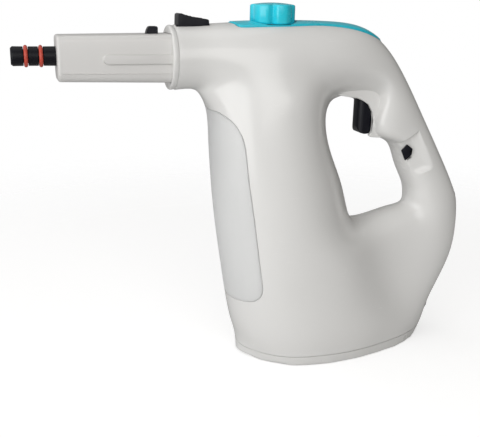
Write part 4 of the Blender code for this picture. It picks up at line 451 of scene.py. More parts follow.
def along_grip(name, along, across, low_y, high_y):
    """A block in line with the grip, measured from the trigger lock."""
    piece = bar(name, (across[0], low_y, -along[1]), (across[1], high_y, -along[0]))
    turn = Matrix.Rotation(-math.atan2(grip_line.x, -grip_line.z), 4, "Y")
    piece.data.transform(Matrix.Translation((slider_spot.x, 0, slider_spot.z)) @ turn)
    return piece


thumb_corners = [spot((x, 0, z)) for x, z in ((38, 152), (58, 164), (73.5, 136), (55, 129))]


def thumb_cut():
    """The scoop round the trigger lock: a crisp step at the top that runs out softly at the palm side
    and at the bottom."""
    rows = 22
    shape = bmesh.new()
    top_left, top_right, low_right, low_left = thumb_corners
    floor, lid = [], []
    for row in range(rows + 1):
        for column in range(rows + 1):
            across, down = row / rows, column / rows
            at = top_left.lerp(top_right, across).lerp(low_left.lerp(low_right, across), down)
            hit = outer_skin.ray_cast(Vector((at.x, -0.1, at.z)), Vector((0, 1, 0)))
            skin_y = hit[1].y if hit[0] else -0.004
            plane_y = -thumb_floor - (at.x - slider_spot.x) * thumb_slope
            deep = max(plane_y - skin_y, 0)
            palm = math.sin(math.pi / 2 * min((1 - across) / 0.32, 1))
            foot = math.sin(math.pi / 2 * min((1 - down) / 0.16, 1))
            floor.append(shape.verts.new((at.x, skin_y - 0.0001 + (deep + 0.0001) * palm * foot, at.z)))
            lid.append(shape.verts.new((at.x, -0.06, at.z)))
    wide = rows + 1
    for layer in (floor, lid):
        for row in range(rows):
            for column in range(rows):
                first, second, third, fourth = (layer[(row + below) * wide + column + beside]
                                                for below, beside in ((0, 0), (1, 0), (1, 1), (0, 1)))
                shape.faces.new((first, second, third))
                shape.faces.new((first, third, fourth))
    border = list(range(rows)) + [row * wide + rows for row in range(rows)]
    border += [rows * wide + column for column in range(rows, 0, -1)]
    border += [row * wide for row in range(rows, 0, -1)]
    for one, other in zip(border, border[1:] + border[:1]):
        shape.faces.new((floor[one], floor[other], lid[other], lid[one]))
    return closed_blank("thumb_recess", shape)


overhead, far_out, under_dial, clear_x, clear_y = 0.30, 0.08, 0.20, 0.4, 0.2
well_seat, well_radius, well_wall = dial_middle.z - 0.0023, 0.0164, 0.0015


def cup_pit(grow=0.0):
    """The pit in the body for the cup of the top plate that the dial turns in."""
    return upright_bar("cup_pit", well_radius + well_wall + grow, dial_middle.x,
                       well_seat - well_wall - grow, overhead, 72)


def button_room(name):
    """The slot in the neck that the release button rocks in."""
    return bar(name, (button_front - 0.0012, -button_width / 2 - running_gap, neck.z),
               (button_front + button_length + 2 * running_gap, button_width / 2 + running_gap, overhead))


recess = slab("plate_recess", widened(plate_edge, running_gap), plate_bottom, overhead, "Z")
recess_floor = body_skin("recess_floor", plate_recess, 2)
cut(recess_floor, cup_pit(running_gap))
cut(recess, recess_floor)
throat_edge = outline_at(((9.8, 203), (9.8, 180.0), (20, 172), (20, 158.9), (41, 158.9), (41, 203)))
lip_front, lip_bore, lip_round = neck.x - 0.0030, 0.0100, 0.0011
lip_radius, lip_root = neck_radius + 0.0003, neck_radius - 0.0011
neck_lip = spun("neck_lip", [(lip_bore, lip_front + 0.0004), (lip_bore + 0.0004, lip_front)]
                + swept_arc((lip_radius - lip_round, lip_front + lip_round), lip_round, -90, 0)
                + [(lip_radius, neck.x - 0.0012), (lip_radius - 0.0001, neck.x - 0.0007),
                   (neck_radius + 0.00005, neck.x + 0.0003), (lip_root, neck.x + 0.0012),
                   (lip_root, neck.x + 0.0016), (lip_bore, neck.x + 0.0016)],
                (0, 0, neck.z), (1, 0, 0), 128)
cheek_edge = outline_at((
    (-7, 191.0), (-3, 189.3), (3, 188.3), (10.3, 187.3), (15.1, 185.6), (20, 182.4), (23.1, 177.2),
    (24, 171.5), (23.9, 166.5), (23, 162.4), (21.3, 160.6), (23.3, 159.2), (28, 158.7), (34.5, 158.6),
    (37.5, 157.8), (42, 160), (46, 166), (44, 180), (34, 191), (20, 193), (0, 194), (-6, 194)))
openings = [
    window("casing_window", running_gap * 0.4),
    loft("neck_bore", [barrel_round(barrel_front, -running_gap), barrel_round(barrel_rear, -running_gap)]),
    button_room("button_slot"),
    upright_bar("spindle_way", spindle_bore, dial_middle.x, under_dial, overhead),
    slab("trigger_throat", throat_edge, -throat_half, throat_half),
    round_bar("gland_hole", gland_neck_radius + running_gap, gland_spot - gland_line * 0.02,
              gland_spot + gland_line * 0.05),
    round_bar("gland_seat", gland_radius + running_gap, gland_spot - gland_line * gland_depth,
              gland_spot + gland_line * 0.05),
    recess,
]


def rounded(piece, width, steps, angle=30):
    """Rounds the edges of a piece that are sharper than an angle."""
    round_over = piece.modifiers.new("round_over", "BEVEL")
    round_over.width, round_over.segments = width, steps
    round_over.limit_method, round_over.angle_limit = "ANGLE", math.radians(angle)
    round_over.use_clamp_overlap = True
    piece.data = plain_mesh(piece)
    piece.modifiers.clear()
    return piece


def edge_lines(piece, angle=32):
    """Smooth shading that keeps the piece's own edges."""
    piece.data.shade_smooth()
    piece.data.set_sharp_from_angle(angle=math.radians(angle))


def fed(tree, node, inputs):
    """Gives each input of a node a plain value or another node's output."""
    for name, value in inputs.items():
        if isinstance(value, bpy.types.NodeSocket):
            tree.links.new(value, node.inputs[name])
        else:
            node.inputs[name].default_value = value


def wired(tree, kind, inputs=None, out=0, **traits):
    """Adds a node to a tree with its traits and inputs, and returns one of its outputs."""
    node = tree.nodes.new(kind)
    for trait, value in traits.items():
        setattr(node, trait, value)
    fed(tree, node, inputs or {})
    return node.outputs[out]


def shaded(material, inputs):
    """Sets inputs of a material's main shader."""
    fed(material.node_tree, material.node_tree.nodes["Principled BSDF"], inputs)
    return material


def ranged(tree, value, start, end, low, high, run="SMOOTHSTEP"):
    """Turns a value that runs from start to end into one that runs from low to high."""
    return wired(tree, "ShaderNodeMapRange", {"Value": value, "From Min": start, "From Max": end,
                                              "To Min": low, "To Max": high}, interpolation_type=run)


def moulded(name, colour, roughness, edge=0.0004, grain=0.06, mottle=0.04, coat=0.0, seed=0.0):
    """Injection-moulded plastic: faint flow marks in the colour, uneven gloss, fine scratches and soft
    edges."""
    plastic = bpy.data.materials.new(name)
    plastic.use_nodes = True
    tree = plastic.node_tree
    place = wired(tree, "ShaderNodeTexCoord", out="Object")
    shifted = wired(tree, "ShaderNodeMapping", {"Vector": place,
                                                "Location": (seed, seed * 0.37, seed * 0.71)})
    drawn_out = wired(tree, "ShaderNodeMapping", {"Vector": shifted, "Scale": (0.10, 1.0, 8.0),
                                                  "Rotation": (0.3, 0.5, 0.2)})

    def noise(scale, detail, vector=shifted):
        return wired(tree, "ShaderNodeTexNoise", {"Vector": vector, "Scale": scale, "Detail": detail})

    tones = wired(tree, "ShaderNodeValToRGB", {"Fac": noise(22, 5)})
    ramp = tones.node.color_ramp
    ramp.interpolation = "EASE"
    ramp.elements[0].position, ramp.elements[1].position = 0.15, 0.85
    ramp.elements[0].color = (*[tone * (1 - mottle) for tone in colour], 1)
    ramp.elements[1].color = (*[min(tone * (1 + mottle * 0.4), 1) for tone in colour], 1)
    haze = ranged(tree, noise(60, 6), 0.3, 0.75, max(roughness - 0.03, 0.02), roughness + 0.03)
    rubbed = ranged(tree, noise(420, 2, drawn_out), 0.55, 0.85, 0.0, 0.03)
    dull = wired(tree, "ShaderNodeMath", {0: haze, 1: rubbed}, operation="ADD")
    skin = wired(tree, "ShaderNodeBump", {"Strength": grain, "Distance": 0.0001, "Height": noise(1500, 3)})
    if edge > 0:
        fed(tree, skin.node, {"Normal": wired(tree, "ShaderNodeBevel", {"Radius": edge}, samples=4)})
    plastic.diffuse_color = (*colour, 1)
    return shaded(plastic, {"Base Color": tones, "Roughness": dull, "Normal": skin, "Coat Weight": coat,
                            "Coat Roughness": 0.12})


def finished(piece, name, body, material, nodes, angle=32):
    """Names a piece, gives it its edges and material, and sets it on its body for its CAD nodes."""
    if angle:
        edge_lines(piece, angle)
    piece.name = name
    piece.data.name = name
    blanks.remove(piece)
    piece.data.materials.clear()
    piece.data.materials.append(material)
    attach(piece, body)
    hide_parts(*nodes)


glossy_white = moulded("glossy_white_casing", (0.80, 0.795, 0.78), 0.24, edge=0.0007, mottle=0.015, coat=0.25)
seam_top, seam_under = seam_height + running_gap / 2, seam_height - running_gap / 2
screw_way, screw_column = screw_head_radius + running_gap, screw_head_radius + running_gap + 0.0016
for half, side in (("casing_left", -1), ("casing_right", 1)):
    shell = blank(half, outer_skin.data.copy())
    low_y, high_y = sorted((side * running_gap / 2, side * well_outside))
    join(shell, neck_lip)
    cut(shell, inner_skin)
    clip(shell, bar("half_space", (-clear_x, low_y, seam_top), (clear_x, high_y, 0.5)))
    cut(shell, *openings)
    if side < 0:
        pad = along_grip("lock_pad", (-0.020, 0.016 + slider_travel), (-0.012, 0.012), -well_outside,
                         slider_pad_face)
        clip(pad, body_skin("pad_limit", wall / 2, 2))
        join(shell, pad)
        half_stem = slider_stem / 2 + running_gap
        cut(shell, thumb_cut(),
            along_grip("lock_slot", (-half_stem, half_stem + slider_travel), (-half_stem, half_stem),
                       -well_outside, 0))
    else:
        cut(shell, cross_bar("filler_hole", filler_hole, filler_middle, filler_root, far_out))
        for middle in casing_screw_spots:
            well = cross_bar("screw_well", screw_column, middle, 0.0005, far_out)
            clip(well, body_skin("well_limit", wall / 2, 2))
            join(shell, well)
            cut(shell, cross_bar("screw_way", screw_way, middle, screw_head_seat, far_out))
    cheek = slab("trigger_cheek", cheek_edge, *sorted((side * (throat_half + 0.0002), side * 0.0094)))
    join(shell, rounded(cheek, 0.0011, 4, 28))
    finished(shell, half + "_moulding", "housing", glossy_white, [half])


# Base cover
# The tray that closes the body from below: the same white ABS, with stiffening ribs inside, and
# three counterbores for the screws that hold it.
rib, rib_foot, base_screw_grip = 0.0024, wall / 2, 0.00375
base_screw_spots = [spot(share) for share in ((-44, -22, 0), (-44, 22, 0), (36, 20, 0))]
tray = blank("tray", outer_skin.data.copy())
clip(tray, bar("tray_slab", (-clear_x, -clear_y, -0.01), (clear_x, clear_y, seam_under)))
cut(tray, inner_skin)
ribs = [bar("long_rib", (-clear_y, y - rib / 2, rib_foot), (clear_y, y + rib / 2, seam_under))
        for y in (-0.015, 0.015)]
ribs += [bar("cross_rib", (x - rib / 2, -clear_y, rib_foot), (x + rib / 2, clear_y, seam_under))
         for x in (-0.054, -0.018, 0.018)]
ribs += [round_bar("screw_column", screw_column, (middle.x, middle.y, rib_foot),
                   (middle.x, middle.y, seam_under)) for middle in base_screw_spots]
join(ribs[0], *ribs[1:])
clip(ribs[0], body_skin("rib_limit", rib_foot, 2))
join(tray, ribs[0])
for middle in base_screw_spots:
    cut(tray, round_bar("thread_way", 0.0018, (middle.x, middle.y, -0.02), (middle.x, middle.y, 0.03)),
        round_bar("counterbore", screw_way, (middle.x, middle.y, -0.02),
                  (middle.x, middle.y, base_screw_grip)))
satin_base = moulded("satin_white_base", (0.79, 0.785, 0.77), 0.30, edge=0.0007, mottle=0.015, coat=0.15,
                     seed=3.1)
finished(tray, "base_cover_moulding", "housing", satin_base, ["base_cover"])


# Screws
# Zinc-plated pan-head screws with a cross recess, six across the casing from the far side and
# three up through the base cover.
screw_radius, screw_head_height, screw_length, thread_turns = 0.0015, 0.0020, 0.018, 22


def screw_blank():
    """One screw along -Z, its head seated at the origin, with a rolled thread and a cross recess."""
    profile = [(0, screw_head_height), (screw_head_radius * 0.45, screw_head_height * 0.97),
               (screw_head_radius * 0.80, screw_head_height * 0.74),
               (screw_head_radius, screw_head_height * 0.30), (screw_head_radius, 0.0001),
               (screw_head_radius - 0.0001, 0), (screw_radius, 0)]
    for step in range(thread_turns):
        depth = -0.003 - (screw_length - 0.005) * step / thread_turns
        profile += [(screw_radius - 0.0003, depth), (screw_radius, depth - 0.00028)]
    profile += [(screw_radius - 0.0005, -screw_length + 0.0008), (0, -screw_length)]
    screw = spun("screw", profile, (0, 0, 0), (0, 0, 1), 32)
    for long_x, long_y in ((0.0014, 0.00026), (0.00026, 0.0014)):
        cut(screw, bar("driver_recess", (-long_x, -long_y, screw_head_height - 0.0012),
                       (long_x, long_y, 0.01)))
    edge_lines(screw, 30)
    return screw


def brushed(name, colour, roughness, wear=0.08, scale=90.0, seed=0.0):
    """Bare or plated metal: fine streaks, uneven gloss and dulled edges."""
    metal = moulded(name, colour, roughness, edge=0.0002, grain=0.10, mottle=wear, seed=seed)
    tree = metal.node_tree
    place = wired(tree, "ShaderNodeTexCoord", out="Object")
    pull = wired(tree, "ShaderNodeMapping", {"Vector": place, "Scale": (1.0, 1.0, 14.0)})
    streak = wired(tree, "ShaderNodeTexNoise", {"Vector": pull, "Scale": scale, "Detail": 3})
    gloss = ranged(tree, streak, 0, 1, max(roughness - 0.08, 0.05), roughness + 0.14, "LINEAR")
    return shaded(metal, {"Metallic": 1.0, "Roughness": gloss})


def grower(name, **sockets):
    """A node tree that grows a metal piece, and its inputs by name."""
    tree = bpy.data.node_groups.new(name, "GeometryNodeTree")
    for label, kind in sockets.items():
        tree.interface.new_socket(label, in_out="INPUT", socket_type="NodeSocket" + kind)
    tree.interface.new_socket("Metal", in_out="INPUT", socket_type="NodeSocketMaterial")
    tree.interface.new_socket("Made", in_out="OUTPUT", socket_type="NodeSocketGeometry")
    return tree, tree.nodes.new("NodeGroupInput").outputs


def coated(tree, shape, metal):
    """Ends a node tree: makes the shape real, in its metal."""
    real = wired(tree, "GeometryNodeRealizeInstances", {"Geometry": shape})
    coat = wired(tree, "GeometryNodeSetMaterial", {"Geometry": real, "Material": metal})
    tree.links.new(coat, tree.nodes.new("NodeGroupOutput").inputs["Made"])
    return tree


def screw_setting():
    """Sets one screw on every point, turned by a fixed amount of its own about its axis."""
    tree, given = grower("screw_setting", Places="Geometry", Screw="Object", Direction="Vector")
    screw = wired(tree, "GeometryNodeObjectInfo", {"Object": given["Screw"]}, "Geometry")
    twist = wired(tree, "FunctionNodeRandomValue", {0: (0, 0, 0), 1: (0, 0, 1.5), "Seed": 7}, "Value",
                  data_type="FLOAT_VECTOR")
    turn = wired(tree, "FunctionNodeEulerToRotation", {"Euler": twist})
    aim = wired(tree, "FunctionNodeEulerToRotation", {"Euler": given["Direction"]})
    both = wired(tree, "FunctionNodeRotateRotation", {"Rotation": aim, "Rotate By": turn},
                 rotation_space="LOCAL")
    screws = wired(tree, "GeometryNodeInstanceOnPoints", {"Points": given["Places"], "Instance": screw,
                                                          "Rotation": both})
    return coated(tree, screws, given["Metal"])


def grown_by(tree, piece, **values):
    """Runs a node tree on a piece and keeps the plain mesh that it makes."""
    grow = piece.modifiers.new(tree.name, "NODES")
    grow.node_group = tree
    for item in tree.interface.items_tree:
        if item.in_out == "INPUT" and item.name in values:
            grow[item.identifier] = values[item.name]
    piece.data = plain_mesh(piece)
    piece.modifiers.clear()
    return piece


zinc = brushed("zinc_plated_steel", (0.58, 0.59, 0.61), 0.30)
setting = screw_setting()
one_screw = screw_blank()
for name, places, direction in (
        ("casing_screws", [(middle.x, screw_head_seat + running_gap, middle.z)
                           for middle in casing_screw_spots], (-math.pi / 2, 0, 0)),
        ("base_screws", [(middle.x, middle.y, base_screw_grip - running_gap)
                         for middle in base_screw_spots], (math.pi, 0, 0))):
    dots = bpy.data.meshes.new(name)
    dots.from_pydata(places, [], [])
    screws = grown_by(setting, blank(name, dots), Screw=one_screw, Direction=direction, Metal=zinc)
    if name == "base_screws":
        for vertex in screws.data.vertices:
            vertex.co.z = min(vertex.co.z, 0.0174)
    finished(screws, name + "_set", "housing", zinc,
             ["%s_%d" % (name[:-1], number) for number in range(1, len(places) + 1)], None)


# Barrel
# The white moulded tube that the accessories slide over, with a rounded front face. Each side has a
# parting ridge low down and a raised guide rib that keys the accessory.
barrel_wall, guide_length, guide_height, guide_step, parting_drop = 0.0022, 0.046, 0.0056, 0.0014, 0.0088
spigot_rise, spigot_radius = 0.0012, 0.0060
spigot_z = neck.z + spigot_rise
barrel = loft("barrel", [barrel_round(barrel_front + back, inset) for back, inset in (
    (0, 0.0018), (0.00015, 0.0011), (0.0006, 0.00045), (0.0012, 0.0001), (0.0019, 0))]
    + [barrel_round(barrel_rear)])
for side in (-1, 1):
    ridge_z = neck.z - parting_drop
    ridge = loft("parting_ridge", [[Vector((x, side * (half + out), ridge_z + rise))
                                    for out, rise in ((-0.0008, 0.0003), (0.0001, 0.0002), (0.0002, 0),
                                                      (0.0001, -0.0002), (-0.0008, -0.0003))]
                                   for x, half in ((barrel_front + 0.0022, barrel_half_width),
                                                   (barrel_rear, barrel_half_width + barrel_taper * 1.15))])
    half = guide_height / 2
    start = neck.x - guide_length + half
    edge = [(neck.x - 0.0010, neck.z + half)]
    edge += [(start - half * math.sin(math.pi * step / 14), neck.z + half * math.cos(math.pi * step / 14))
             for step in range(15)]
    edge.append((neck.x - 0.0010, neck.z - half))
    low, high = sorted((side * (barrel_half_width - barrel_wall / 2),
                        side * (barrel_half_width + barrel_taper + guide_step)))
    join(barrel, ridge, rounded(slab("guide_rib", edge, low, high), 0.0009, 4, 50))
tooth_rear, tooth_length, tooth_width = neck.x - 0.0095, 0.0075, 0.0060
cut(barrel, loft("barrel_hollow", [barrel_round(barrel_front + barrel_wall, barrel_wall),
                                   barrel_round(barrel_rear + 0.01, barrel_wall)]),
    level_bar("spigot_hole", spigot_radius + running_gap, spigot_z, barrel_front - 0.02,
              barrel_front + 0.02, 64),
    bar("tooth_slot", (tooth_rear - tooth_length - 0.0006, -tooth_width / 2 - running_gap, neck.z),
        (tooth_rear + 0.00084, tooth_width / 2 + running_gap, overhead)),
    button_room("button_way"))
satin_barrel = moulded("satin_white_barrel", (0.72, 0.71, 0.695), 0.32, edge=0.0006, mottle=0.015, coat=0.1,
                       seed=5.3)
finished(barrel, "nozzle_barrel", "housing", satin_barrel, ["nozzle_tube"])


# Steam spigot and seals
# A black glass-filled nylon outlet with a chamfered end, turned smooth, with two grooves that
# hold the red silicone O-rings.
spigot_face = barrel_front + barrel_wall + running_gap
spigot_tip = barrel_front - 0.0270
ring_reaches, ring_thickness, ring_proud = (0.0180, 0.0090), 0.0024, 0.0008
groove_half = ring_thickness / 2 + running_gap
groove_radius = spigot_radius + ring_proud - ring_thickness - running_gap
brow, shoulder = spigot_radius - 0.0003, spigot_radius - 0.0001
profile = [(spigot_radius - 0.0012, spigot_tip), (spigot_radius - 0.0009, spigot_tip + 0.0001),
           (shoulder, spigot_tip + 0.0011), (spigot_radius, spigot_tip + 0.0014)]
for reach in ring_reaches:
    front, rear = barrel_front - reach - groove_half, barrel_front - reach + groove_half
    profile += [(shoulder, front - 0.0002), (brow, front), (groove_radius, front), (groove_radius, rear),
                (brow, rear), (shoulder, rear + 0.0002)]
profile += [(spigot_radius, spigot_face)]
profile += [(radius, spigot_face + back) for radius, back in (
    (0.0095, 0), (0.0095, 0.0025), (0.0050, 0.0025), (0.0050, 0.0085), (0.0025, 0.0085), (0.0025, 0.0060),
    (0.0021, 0.0060))]
profile += [(0.0021, spigot_tip + 0.0006), (0.0027, spigot_tip)]
black_nylon = shaded(moulded("black_glass_filled_nylon", (0.004, 0.004, 0.007), 0.42, edge=0.0002, grain=0.14,
                             seed=1.7), {"Specular IOR Level": 0.22})
spigot = spun("spigot", profile, (0, 0, spigot_z), (1, 0, 0), 96)
finished(spigot, "spigot_outlet", "housing", black_nylon, ["steam_spigot"], 25)
red_seal = moulded("red_silicone_seal", (0.60, 0.075, 0.045), 0.42, edge=0, grain=0.12, mottle=0.10, seed=2.9)
seal_half = ring_thickness / 2
seal_middle = spigot_radius + ring_proud - seal_half
for node, reach in zip(("o_ring_front", "o_ring_rear"), ring_reaches):
    section = [(seal_middle + seal_half * math.cos(turn), seal_half * math.sin(turn))
               for turn in [math.tau * step / 20 for step in range(20)]]
    seal = spun(node, section, (barrel_front - reach, 0, spigot_z), (1, 0, 0), 96)
    finished(seal, node + "_seal", "housing", red_seal, [node], 60)


# Release button and latch
# One rocking lever of black acetal: the button with a ramped thumb face, and the arm whose tooth
# stands out of the barrel and holds the accessory. It turns on a steel pin against a torsion spring.
latch_pivot = spot((-97, 0, 229))
hub_radius, pin_radius = 0.0034, 0.0015
pin_hole = pin_radius + running_gap
arm_low = latch_pivot.z - 0.0075
arm_top = arm_low + 0.0036
button_back = button_front + button_length
stem_back = latch_pivot.x - hub_radius * 2
button_high, button_end = neck_top + 0.0077, neck_top + 0.0042
stem_top, stem_foot = latch_pivot.z + hub_radius + 0.0010, arm_top + running_gap
edge = eased([(button_front, stem_foot), (button_front + 0.0002, button_high - 0.0022),
              (button_front + 0.0009, button_high - 0.0005), (button_front + 0.0021, button_high - 0.0001),
              (button_front + 0.0056, button_high - 0.0013), (button_front + 0.0110, button_high - 0.0025),
              (button_back - 0.0016, button_end), (button_back - 0.0002, button_end - 0.0010),
              (button_back, stem_top), (stem_back + 0.001, stem_top), (stem_back, stem_foot)],
             4, sharp=(0, 7, 8, 9, 10))
button = rounded(slab("button", edge, -button_width / 2, button_width / 2), 0.0013, 4, 40)
for step in range(5):
    x = button_front + 0.0062 + step * 0.0024
    z = button_high - 0.0014 - min(step * 0.00055, 0.0005 + step * 0.0003) - 0.00012
    join(button, round_bar("grip_line", 0.00042, (x, -0.0040, z), (x, 0.0040, z), 16))
black_acetal = shaded(moulded("black_acetal", (0.005, 0.0055, 0.010), 0.38, edge=0.0003, grain=0.12,
                              seed=7.7), {"Specular IOR Level": 0.28})
finished(button, "release_wedge", "latch", black_acetal, ["release_button"])

barrel_top = neck.z + barrel_half_height + barrel_taper
tooth_tip = tooth_rear - tooth_length
arc = [(latch_pivot.x + hub_radius * math.cos(turn), latch_pivot.z + hub_radius * math.sin(turn))
       for turn in [math.pi * (5 / 6 - step / 12) for step in range(17)]]
edge = [(tooth_tip - 0.001, arm_low), (tooth_tip - 0.001, arm_top), (tooth_tip, arm_top),
        (tooth_tip, barrel_top), (tooth_tip + 0.0006, barrel_top + 0.0022),
        (tooth_tip + 0.0016, barrel_top + 0.0039), (tooth_tip + 0.0026, barrel_top + 0.0044),
        (tooth_rear - 0.001, barrel_top + 0.0044), (tooth_rear - 0.0003, barrel_top + 0.0041),
        (tooth_rear, barrel_top + 0.0034), (tooth_rear, arm_top),
        (stem_back + hub_radius / 2, arm_top)] + arc + [(stem_back, arm_low)]
arm = slab("arm", edge, -0.0040, 0.0040)
for side in (-1, 1):
    low, high = sorted((side * (tooth_width / 2 - running_gap), side * 0.05))
    trim = bar("tooth_trim", (tooth_tip - 0.05, low, arm_top), (tooth_rear + 0.001, high, overhead))
    cut(arm, trim)
cut(arm, cross_bar("pin_bore", pin_hole, latch_pivot, -0.02, 0.02, 32))
finished(arm, "latch_lever", "latch", black_acetal, ["latch_arm"])

pin_span = 0.0109 + 0.0024
bright_steel = brushed("ground_steel", (0.62, 0.63, 0.65), 0.22, seed=4.4)


def pin(name, at, node):
    """A ground steel hinge pin with chamfered ends."""
    profile = [(0, -pin_span), (pin_radius - 0.0003, -pin_span), (pin_radius, -pin_span + 0.0003),
               (pin_radius, pin_span - 0.0003), (pin_radius - 0.0003, pin_span), (0, pin_span)]
    piece = spun(name, profile, (at.x, 0, at.z), (0, 1, 0), 40)
    finished(piece, name, "housing", bright_steel, [node])


def coil_winding():
    """A close-wound spring: a spiral with a round wire, laid along Y from its place."""
    tree, given = grower("coil_winding", Place="Geometry", Turns="Float", Radius="Float", Wire="Float",
                         Length="Float", Start="Vector")
    spiral = wired(tree, "GeometryNodeCurveSpiral", {
        "Resolution": 36, "Rotations": given["Turns"], "Start Radius": given["Radius"],
        "End Radius": given["Radius"], "Height": given["Length"]})
    wire = wired(tree, "GeometryNodeCurvePrimitiveCircle", {"Resolution": 14, "Radius": given["Wire"]})
    sweep = wired(tree, "GeometryNodeCurveToMesh", {"Curve": spiral, "Profile Curve": wire,
                                                    "Fill Caps": True})
    lay = wired(tree, "GeometryNodeTransform", {"Geometry": sweep, "Translation": given["Start"],
                                                "Rotation": (-math.pi / 2, 0, 0)})
    return coated(tree, wired(tree, "GeometryNodeSetShadeSmooth", {"Geometry": lay}), given["Metal"])


winding = coil_winding()
spring_steel = brushed("spring_steel", (0.50, 0.50, 0.52), 0.26, seed=9.1)
spring_wire, spring_length = 0.0004, 0.0040


def torsion_spring(name, at, start_y, node):
    """A torsion spring round a hinge pin, beside the hub that it turns back."""
    piece = blank(name, bpy.data.meshes.new(name))
    grown_by(winding, piece, Turns=4.5, Radius=pin_hole + spring_wire, Wire=spring_wire,
             Length=spring_length - 2 * spring_wire, Start=(at.x, start_y + spring_wire, at.z),
             Metal=spring_steel)
    finished(piece, name, "housing", spring_steel, [node], None)


pin("latch_hinge_pin", latch_pivot, "latch_pin")
torsion_spring("latch_return_spring", latch_pivot, 0.0040 + running_gap, "latch_spring")


# Top plate
# A teal ABS trim plate that lies in a recess of both halves and stands 0.8 mm proud of them, with a
# small shoulder round its edge and a round well that the dial turns in.
teal_abs = moulded("teal_abs", (0.025, 0.62, 0.76), 0.30, edge=0.0007, mottle=0.05, coat=0.3, seed=11.3)
trim = slab("trim", widened(plate_edge, -0.0002), plate_bottom, overhead, "Z")
clip(trim, body_skin("trim_shoulder", -plate_proud * 0.35))
crown = slab("trim_crown", widened(plate_edge, -0.0009), plate_bottom, overhead, "Z")
clip(crown, body_skin("trim_face", -plate_proud))
join(trim, crown)
bed = body_skin("trim_bed", plate_recess - running_gap, 2)
cut(bed, cup_pit())
cut(trim, bed,
    upright_bar("dial_well", well_radius, dial_middle.x, well_seat, overhead, 72),
    upright_bar("spindle_hole", spindle_bore, dial_middle.x, under_dial, overhead))
finished(trim, "teal_trim_plate", "housing", teal_abs, ["top_plate"], 40)


# Steam dial
# The teal ABS knob that sets the steam: five broad lobes with narrow valleys, a rounded rim and a
# domed top, pushed onto a turned brass spindle.
dial_base, dial_height, dial_rim = well_seat + running_gap, 0.0125, 0.0014
dial_reach, dial_root, dial_crest = 0.0156, 0.0114, 0.0011
valley_depth = dial_reach - dial_root - dial_crest
levels = [(0.0012, 1, 0), (0.0003, 1, 0.0009), (0, 1, 0.0014)]
levels += [(dial_rim * (1 - math.cos(turn)), 1, dial_height - dial_rim + dial_rim * math.sin(turn))
           for turn in [math.pi / 2 * step / 6 for step in range(7)]]
levels += [(dial_rim, share, dial_height + 0.0012 * (1 - share ** 2))
           for share in (0.85, 0.66, 0.45, 0.22, 0.04)]
rings = []
for inset, share, rise in levels:
    ring = []
    for step in range(160):
        turn = math.tau * step / 160
        valley = ((1 - math.cos(5 * turn)) / 2) ** 7
        crest = math.sqrt(math.sin(2.5 * turn) ** 2 + 0.02) - math.sqrt(0.02)
        radius = (dial_reach - dial_crest * crest - valley_depth * valley - inset) * share
        ring.append(Vector((dial_middle.x + radius * math.cos(turn), radius * math.sin(turn),
                            dial_base + rise)))
    rings.append(ring)
knob = loft("knob", rings)
cut(knob, upright_bar("spindle_socket", spindle_bore, dial_middle.x, under_dial, dial_base + 0.0043))
teal_knob = moulded("teal_knob_abs", (0.030, 0.70, 0.85), 0.26, edge=0.0003, mottle=0.05, coat=0.3, seed=12.9)
finished(knob, "star_knob", "dial", teal_knob, ["steam_dial"], 40)
clip_radius = spindle_radius - 0.0006
profile = [(0, 0.2280), (spindle_radius - 0.0003, 0.2280), (spindle_radius, 0.2283), (spindle_radius, 0.2318),
           (clip_radius, 0.2320), (clip_radius, 0.2328), (spindle_radius, 0.2330),
           (spindle_radius, dial_base + 0.0037), (spindle_radius - 0.0003, dial_base + 0.0040),
           (0, dial_base + 0.0040)]
spindle = spun("spindle", profile, (dial_middle.x, 0, 0), (0, 0, 1), 48)
turned_brass = brushed("turned_brass", (0.72, 0.52, 0.22), 0.28, seed=6.2)
finished(spindle, "dial_stem", "dial", turned_brass, ["dial_spindle"])


# Water tank
# Frosted blow-moulded polypropylene. Its front stands flush in the window of the casing, and the rest
# reaches back inside the body, with a filler neck on the far side and an outlet low at the back.
tank_wall, tank_back = 0.0020, spot((-50.5, 0, 38)).x
tank_low, tank_high, outlet_z = spot((0, 0, 38)).z, spot((0, 0, 186)).z, spot((0, 0, 46)).z
filler_bore, outlet_radius = 0.0056, 0.0040


def tank_side(name, deeper=0.0):
    """The tank's wall behind the casing, or the room inside it when it is taken deeper."""
    skin = body_skin(name, wall + running_gap * 2 + deeper, 2)
    return clip(skin, bar("room", (-0.25, -clear_y, tank_low + deeper),
                          (tank_back - deeper, clear_y, tank_high - deeper)))


filler_face = min(outer_skin.ray_cast(Vector((filler_middle.x + filler_radius * math.cos(turn), far_out,
                                              filler_middle.z + filler_radius * math.sin(turn))),
                                      Vector((0, -1, 0)))[1].y
                  for turn in [math.tau * step / 24 for step in range(24)]) - running_gap
tank = blank("tank", outer_skin.data.copy())
clip(tank, window("tank_window"))
join(tank, tank_side("tank_behind"))
cut(tank, cross_bar("filler_seat", filler_hole, filler_middle, filler_face, far_out))
join(tank, cross_bar("filler_neck", filler_radius, filler_middle, filler_root, filler_face))
cut(tank, tank_side("tank_hollow", tank_wall),
    level_bar("outlet", outlet_radius, outlet_z, tank_back - 0.004, tank_back + 0.05),
    cross_bar("filler_bore", filler_bore, filler_middle, filler_root, far_out))
milk = moulded("frosted_polypropylene", (0.83, 0.835, 0.83), 0.36, edge=0.0008, grain=0.10, mottle=0.03,
               seed=8.8)
shaded(milk, {"Subsurface Weight": 0.55, "Subsurface Radius": (1.0, 1.0, 1.0), "Subsurface Scale": 0.004,
              "Transmission Weight": 0.12, "IOR": 1.49})
finished(tank, "frosted_tank_moulding", "housing", milk, ["water_tank"])


